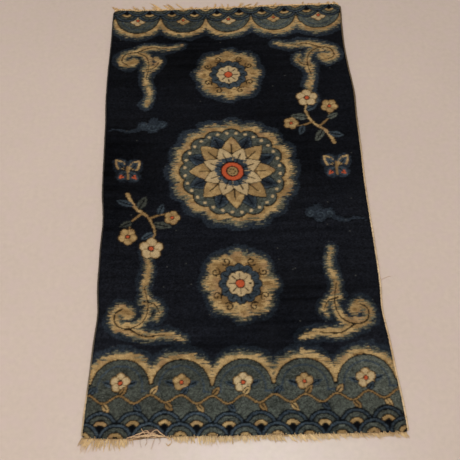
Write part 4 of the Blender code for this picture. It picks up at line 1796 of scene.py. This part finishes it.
def make_back_wool(name):
    material, tree, shader = new_material(name, 0.95, 0.05)
    place = own_place(tree)
    counted = node(tree, "ShaderNodeUVMap", uv_map="knots").outputs["UV"]
    knots = use_group(tree, KNOTS, Knots=counted)
    fibres = use_group(tree, FIBRES, Place=place, Fineness=1400.0)["Value"]
    shade = mapped(tree, fibres, 0.0, 1.0, 0.85, 1.35)
    colour = multiplied(tree, attribute(tree, "dye", "Color"), shade)
    colour = blend_colours(tree, colour, WEFT, math_node(tree, "MULTIPLY", knots["Gap"], 0.55))
    soil_and_shade = use_group(tree, SOIL, Place=place, Amount=0.35)["Mask"]
    colour = blend_colours(tree, colour, DUST, soil_and_shade)
    finish_surface(tree, shader, colour, knots["Height"], 0.9, BACK_RELIEF)
    return material


# %% [markdown]
# ### Straw and cotton
# The overcasting is straw wool, the web and the fringe are undyed cotton that has yellowed. The
# attribute called fade gives each strand its own place between a pale and a deep tone, the one called
# wrap counts the turns of the yarn, and a third says how much darker it is: flecks and wear, and on
# the cords painted shade where the rug's edge hides them. The grooves between wraps get painted shade.

# %% Straw overcasting and cotton yarns
def make_yarn(name, pale, deep, soil_and_shade_colour, soil, bump=0.0005, groove_shade=0.45):
    material, tree, shader = new_material(name, 0.92, 0.12, 0.05)
    place = own_place(tree)
    wrapped = use_group(tree, WRAPS, Wraps=attribute(tree, "wrap"))
    fibres = use_group(tree, FIBRES, Place=place, Fineness=1800.0)["Value"]
    tone = math_node(tree, "MULTIPLY", fibres, 0.4)
    tone = math_node(tree, "MULTIPLY_ADD", attribute(tree, "fade"), 0.7, tone)
    colour = blend_colours(tree, pale, deep, math_node(tree, "MINIMUM", tone, 1.0))
    # Painted shade: the grooves between the wraps are darker
    lost = mapped(tree, wrapped["Groove"], 0.0, 1.0, 1.0, 1.0 - groove_shade)
    soil_and_shade = use_group(tree, SOIL, Place=place, Amount=soil)["Mask"]
    soil_and_shade = math_node(tree, "MAXIMUM", soil_and_shade, attribute(tree, "soil_and_shade"))
    colour = blend_colours(tree, multiplied(tree, colour, lost), soil_and_shade_colour, soil_and_shade)
    height = math_node(tree, "MULTIPLY_ADD", fibres, 0.3, wrapped["Height"])
    finish_surface(tree, shader, colour, height, 0.8, bump)
    return material


# Linear colours: straw for the cords, cotton and gold for the ends, and what darkens them: soil, and the
# painted shade of the cords
PALE_STRAW = (0.98, 0.77, 0.50)
DEEP_STRAW = (0.66, 0.44, 0.23)
PALE_COTTON = (1.0, 0.73, 0.39)
DEEP_COTTON = (0.42, 0.24, 0.10)
PALE_GOLD = (0.92, 0.63, 0.325)
GOLD_COTTON = (0.55, 0.32, 0.105)
ROSE_BROWN = (0.42, 0.25, 0.17)
BROWN_SOIL_AND_SHADE = (0.11, 0.075, 0.040)
DARK_SOIL_AND_SHADE = (0.020, 0.020, 0.022)

wool_pile = make_wool("wool_pile")
wool_back = make_back_wool("wool_back")
overcast_straw = make_yarn("overcast_straw", PALE_STRAW, DEEP_STRAW, BROWN_SOIL_AND_SHADE, 0.40)
# The left cord is painted nearly black as shade, where the rug's edge hides it
overcast_shaded = make_yarn("overcast_shaded", PALE_STRAW, DEEP_STRAW, DARK_SOIL_AND_SHADE, 0.5)
cotton_web = make_yarn("cotton_web", PALE_GOLD, DEEP_STRAW, BROWN_SOIL_AND_SHADE, 0.20, groove_shade=0.35)
# The foot's web is browner and darker than the head's: painted shadow below the pile's edge
worn_and_shaded_web = make_yarn("worn_and_shaded_web", GOLD_COTTON, ROSE_BROWN, BROWN_SOIL_AND_SHADE, 0.50, groove_shade=0.45)
cotton_foot = make_yarn("cotton_foot", PALE_COTTON, DEEP_COTTON, BROWN_SOIL_AND_SHADE, 0.12, groove_shade=0.25)
cotton_head = make_yarn("cotton_head", PALE_GOLD, GOLD_COTTON, BROWN_SOIL_AND_SHADE, 0.15, groove_shade=0.35)
loose_cotton = make_yarn("loose_cotton", PALE_GOLD, ROSE_BROWN, BROWN_SOIL_AND_SHADE, 0.30)
print("materials:", len(bpy.data.materials))

# %% [markdown]
# ## Hang every piece on the frame
# Each piece rides on the rug's one body, takes its material, and hides the CAD nodes that it stands
# for.

# %% Dress the frame
# Columns: piece, material, slot, the CAD nodes that it replaces
DRESSED = (
    (pile, wool_pile, "wool_pile", ("pile_field",)),
    (back, wool_back, "wool_pile", ("pile_field",)),
    (rim_tufts, wool_pile, "wool_pile", ("pile_field",)),
    (cord_left, overcast_shaded, "side_overcasting", ("selvedge_left",)),
    (cord_right, overcast_straw, "side_overcasting", ("selvedge_right",)),
    (web_foot, worn_and_shaded_web, "cotton_warp", ("fringe_foot",)),
    (web_head, cotton_web, "cotton_warp", ("fringe_head",)),
    (yarns_foot, cotton_foot, "cotton_warp", ("fringe_foot",)),
    (hairs_foot, cotton_foot, "cotton_warp", ("fringe_foot",)),
    (yarns_head, cotton_head, "cotton_warp", ("fringe_head",)),
    (hairs_head, cotton_head, "cotton_warp", ("fringe_head",)),
    (tangle, loose_cotton, "cotton_warp", ("fringe_foot",)),
    (stray, loose_cotton, "cotton_warp", ("selvedge_right",)),
)
for piece, material, slot, nodes in DRESSED:
    piece.data.materials.clear()
    piece.data.materials.append(material)
    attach(piece, BODY)
    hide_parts(*nodes)
print("triangles in all:", sum(triangles_in(piece) for piece, *_ in DRESSED))

# %% [markdown]
# ## Floor and light
# The floor is a plain pale one. A wide panel overhead and a pale sky give the soft daylight of the
# photograph: it is brighter towards the near left, and the shadows at the rug's edge are faint. A
# wide soft spot adds the paler pool that lies on the floor in front of the foot.

# %% Floor
FLOOR_SIZE = 8.0
FLOOR_COLOUR = (0.595, 0.490, 0.418)
ROSY_FLOOR = (0.600, 0.480, 0.440)
FLOOR_DROP = 0.0001


def make_floor():
    bm = bmesh.new()
    bmesh.ops.create_grid(bm, x_segments=1, y_segments=1, size=FLOOR_SIZE / 2)
    bmesh.ops.translate(bm, verts=bm.verts, vec=(0.0, 0.0, -FLOOR_DROP))
    floor = new_piece("floor", bm, smooth=False)
    material, tree, shader = new_material("floor", 0.9, 0.0)
    place = own_place(tree)
    cloudy = mapped(tree, noise(tree, place, 2.2, 4.0), 0.3, 0.7, 0.97, 1.03)
    grainy = mapped(tree, noise(tree, place, 85.0, 3.0), 0.3, 0.7, 0.965, 1.035)
    cloudy = math_node(tree, "MULTIPLY", cloudy, grainy)
    colour = multiplied(tree, FLOOR_COLOUR, cloudy)
    rosy = mapped(tree, noise(tree, place, 31.0, 2.0), 0.45, 0.62, 0.0, 0.5)
    colour = blend_colours(tree, colour, ROSY_FLOOR, rosy)
    tree.links.new(colour, shader.inputs["Base Color"])
    floor.data.materials.append(material)
    return floor


floor = make_floor()
print("floor:", FLOOR_SIZE, "m wide, top at", round(floor.data.vertices[0].co.z, 5), "m")

# %% Light
SKY_COLOUR = (1.0, 0.97, 0.94)
SKY_STRENGTH = 0.54
# Columns: name, place, size, watts
PANELS = (
    ("window_panel", (-0.8, -1.0, 2.6), 1.8, 32.0),
    ("ceiling_panel", (0.6, -0.5, 3.0), 2.4, 15.0),
)
# A paler pool lies on the floor at the middle of the foot
POOL_PLACE = (0.02, -0.72, 1.2)
POOL_COLOUR = (0.62, 0.84, 1.0)
POOL_WATTS = 25.0
POOL_SPREAD = math.radians(32)
POOL_LAMP_SIZE = 0.2


def make_lamp(name, kind, place, watts, colour, **settings):
    light = bpy.data.lights.new(name, kind)
    light.energy = watts
    light.color = colour
    for setting, value in settings.items():
        setattr(light, setting, value)
    lamp = bpy.data.objects.new(name, light)
    lamp.location = place
    bpy.context.scene.collection.objects.link(lamp)
    return lamp


def make_pool():
    settings = dict(spot_size=POOL_SPREAD, spot_blend=1.0, shadow_soft_size=POOL_LAMP_SIZE)
    make_lamp("foot_pool", "SPOT", POOL_PLACE, POOL_WATTS, POOL_COLOUR, **settings)


def make_light():
    world = bpy.data.worlds.new("sky")
    bpy.context.scene.world = world
    world.use_nodes = True
    sky = world.node_tree.nodes["Background"]
    sky.inputs["Color"].default_value = (*SKY_COLOUR, 1.0)
    sky.inputs["Strength"].default_value = SKY_STRENGTH
    for name, place, size, watts in PANELS:
        panel = make_lamp(name, "AREA", place, watts, SKY_COLOUR, size=size)
        panel.rotation_euler = (-Vector(place)).to_track_quat("-Z", "Y").to_euler()
    bpy.context.scene.view_settings.view_transform = "Standard"


make_light()
make_pool()
print("lights:", [light.name for light in bpy.data.lights])
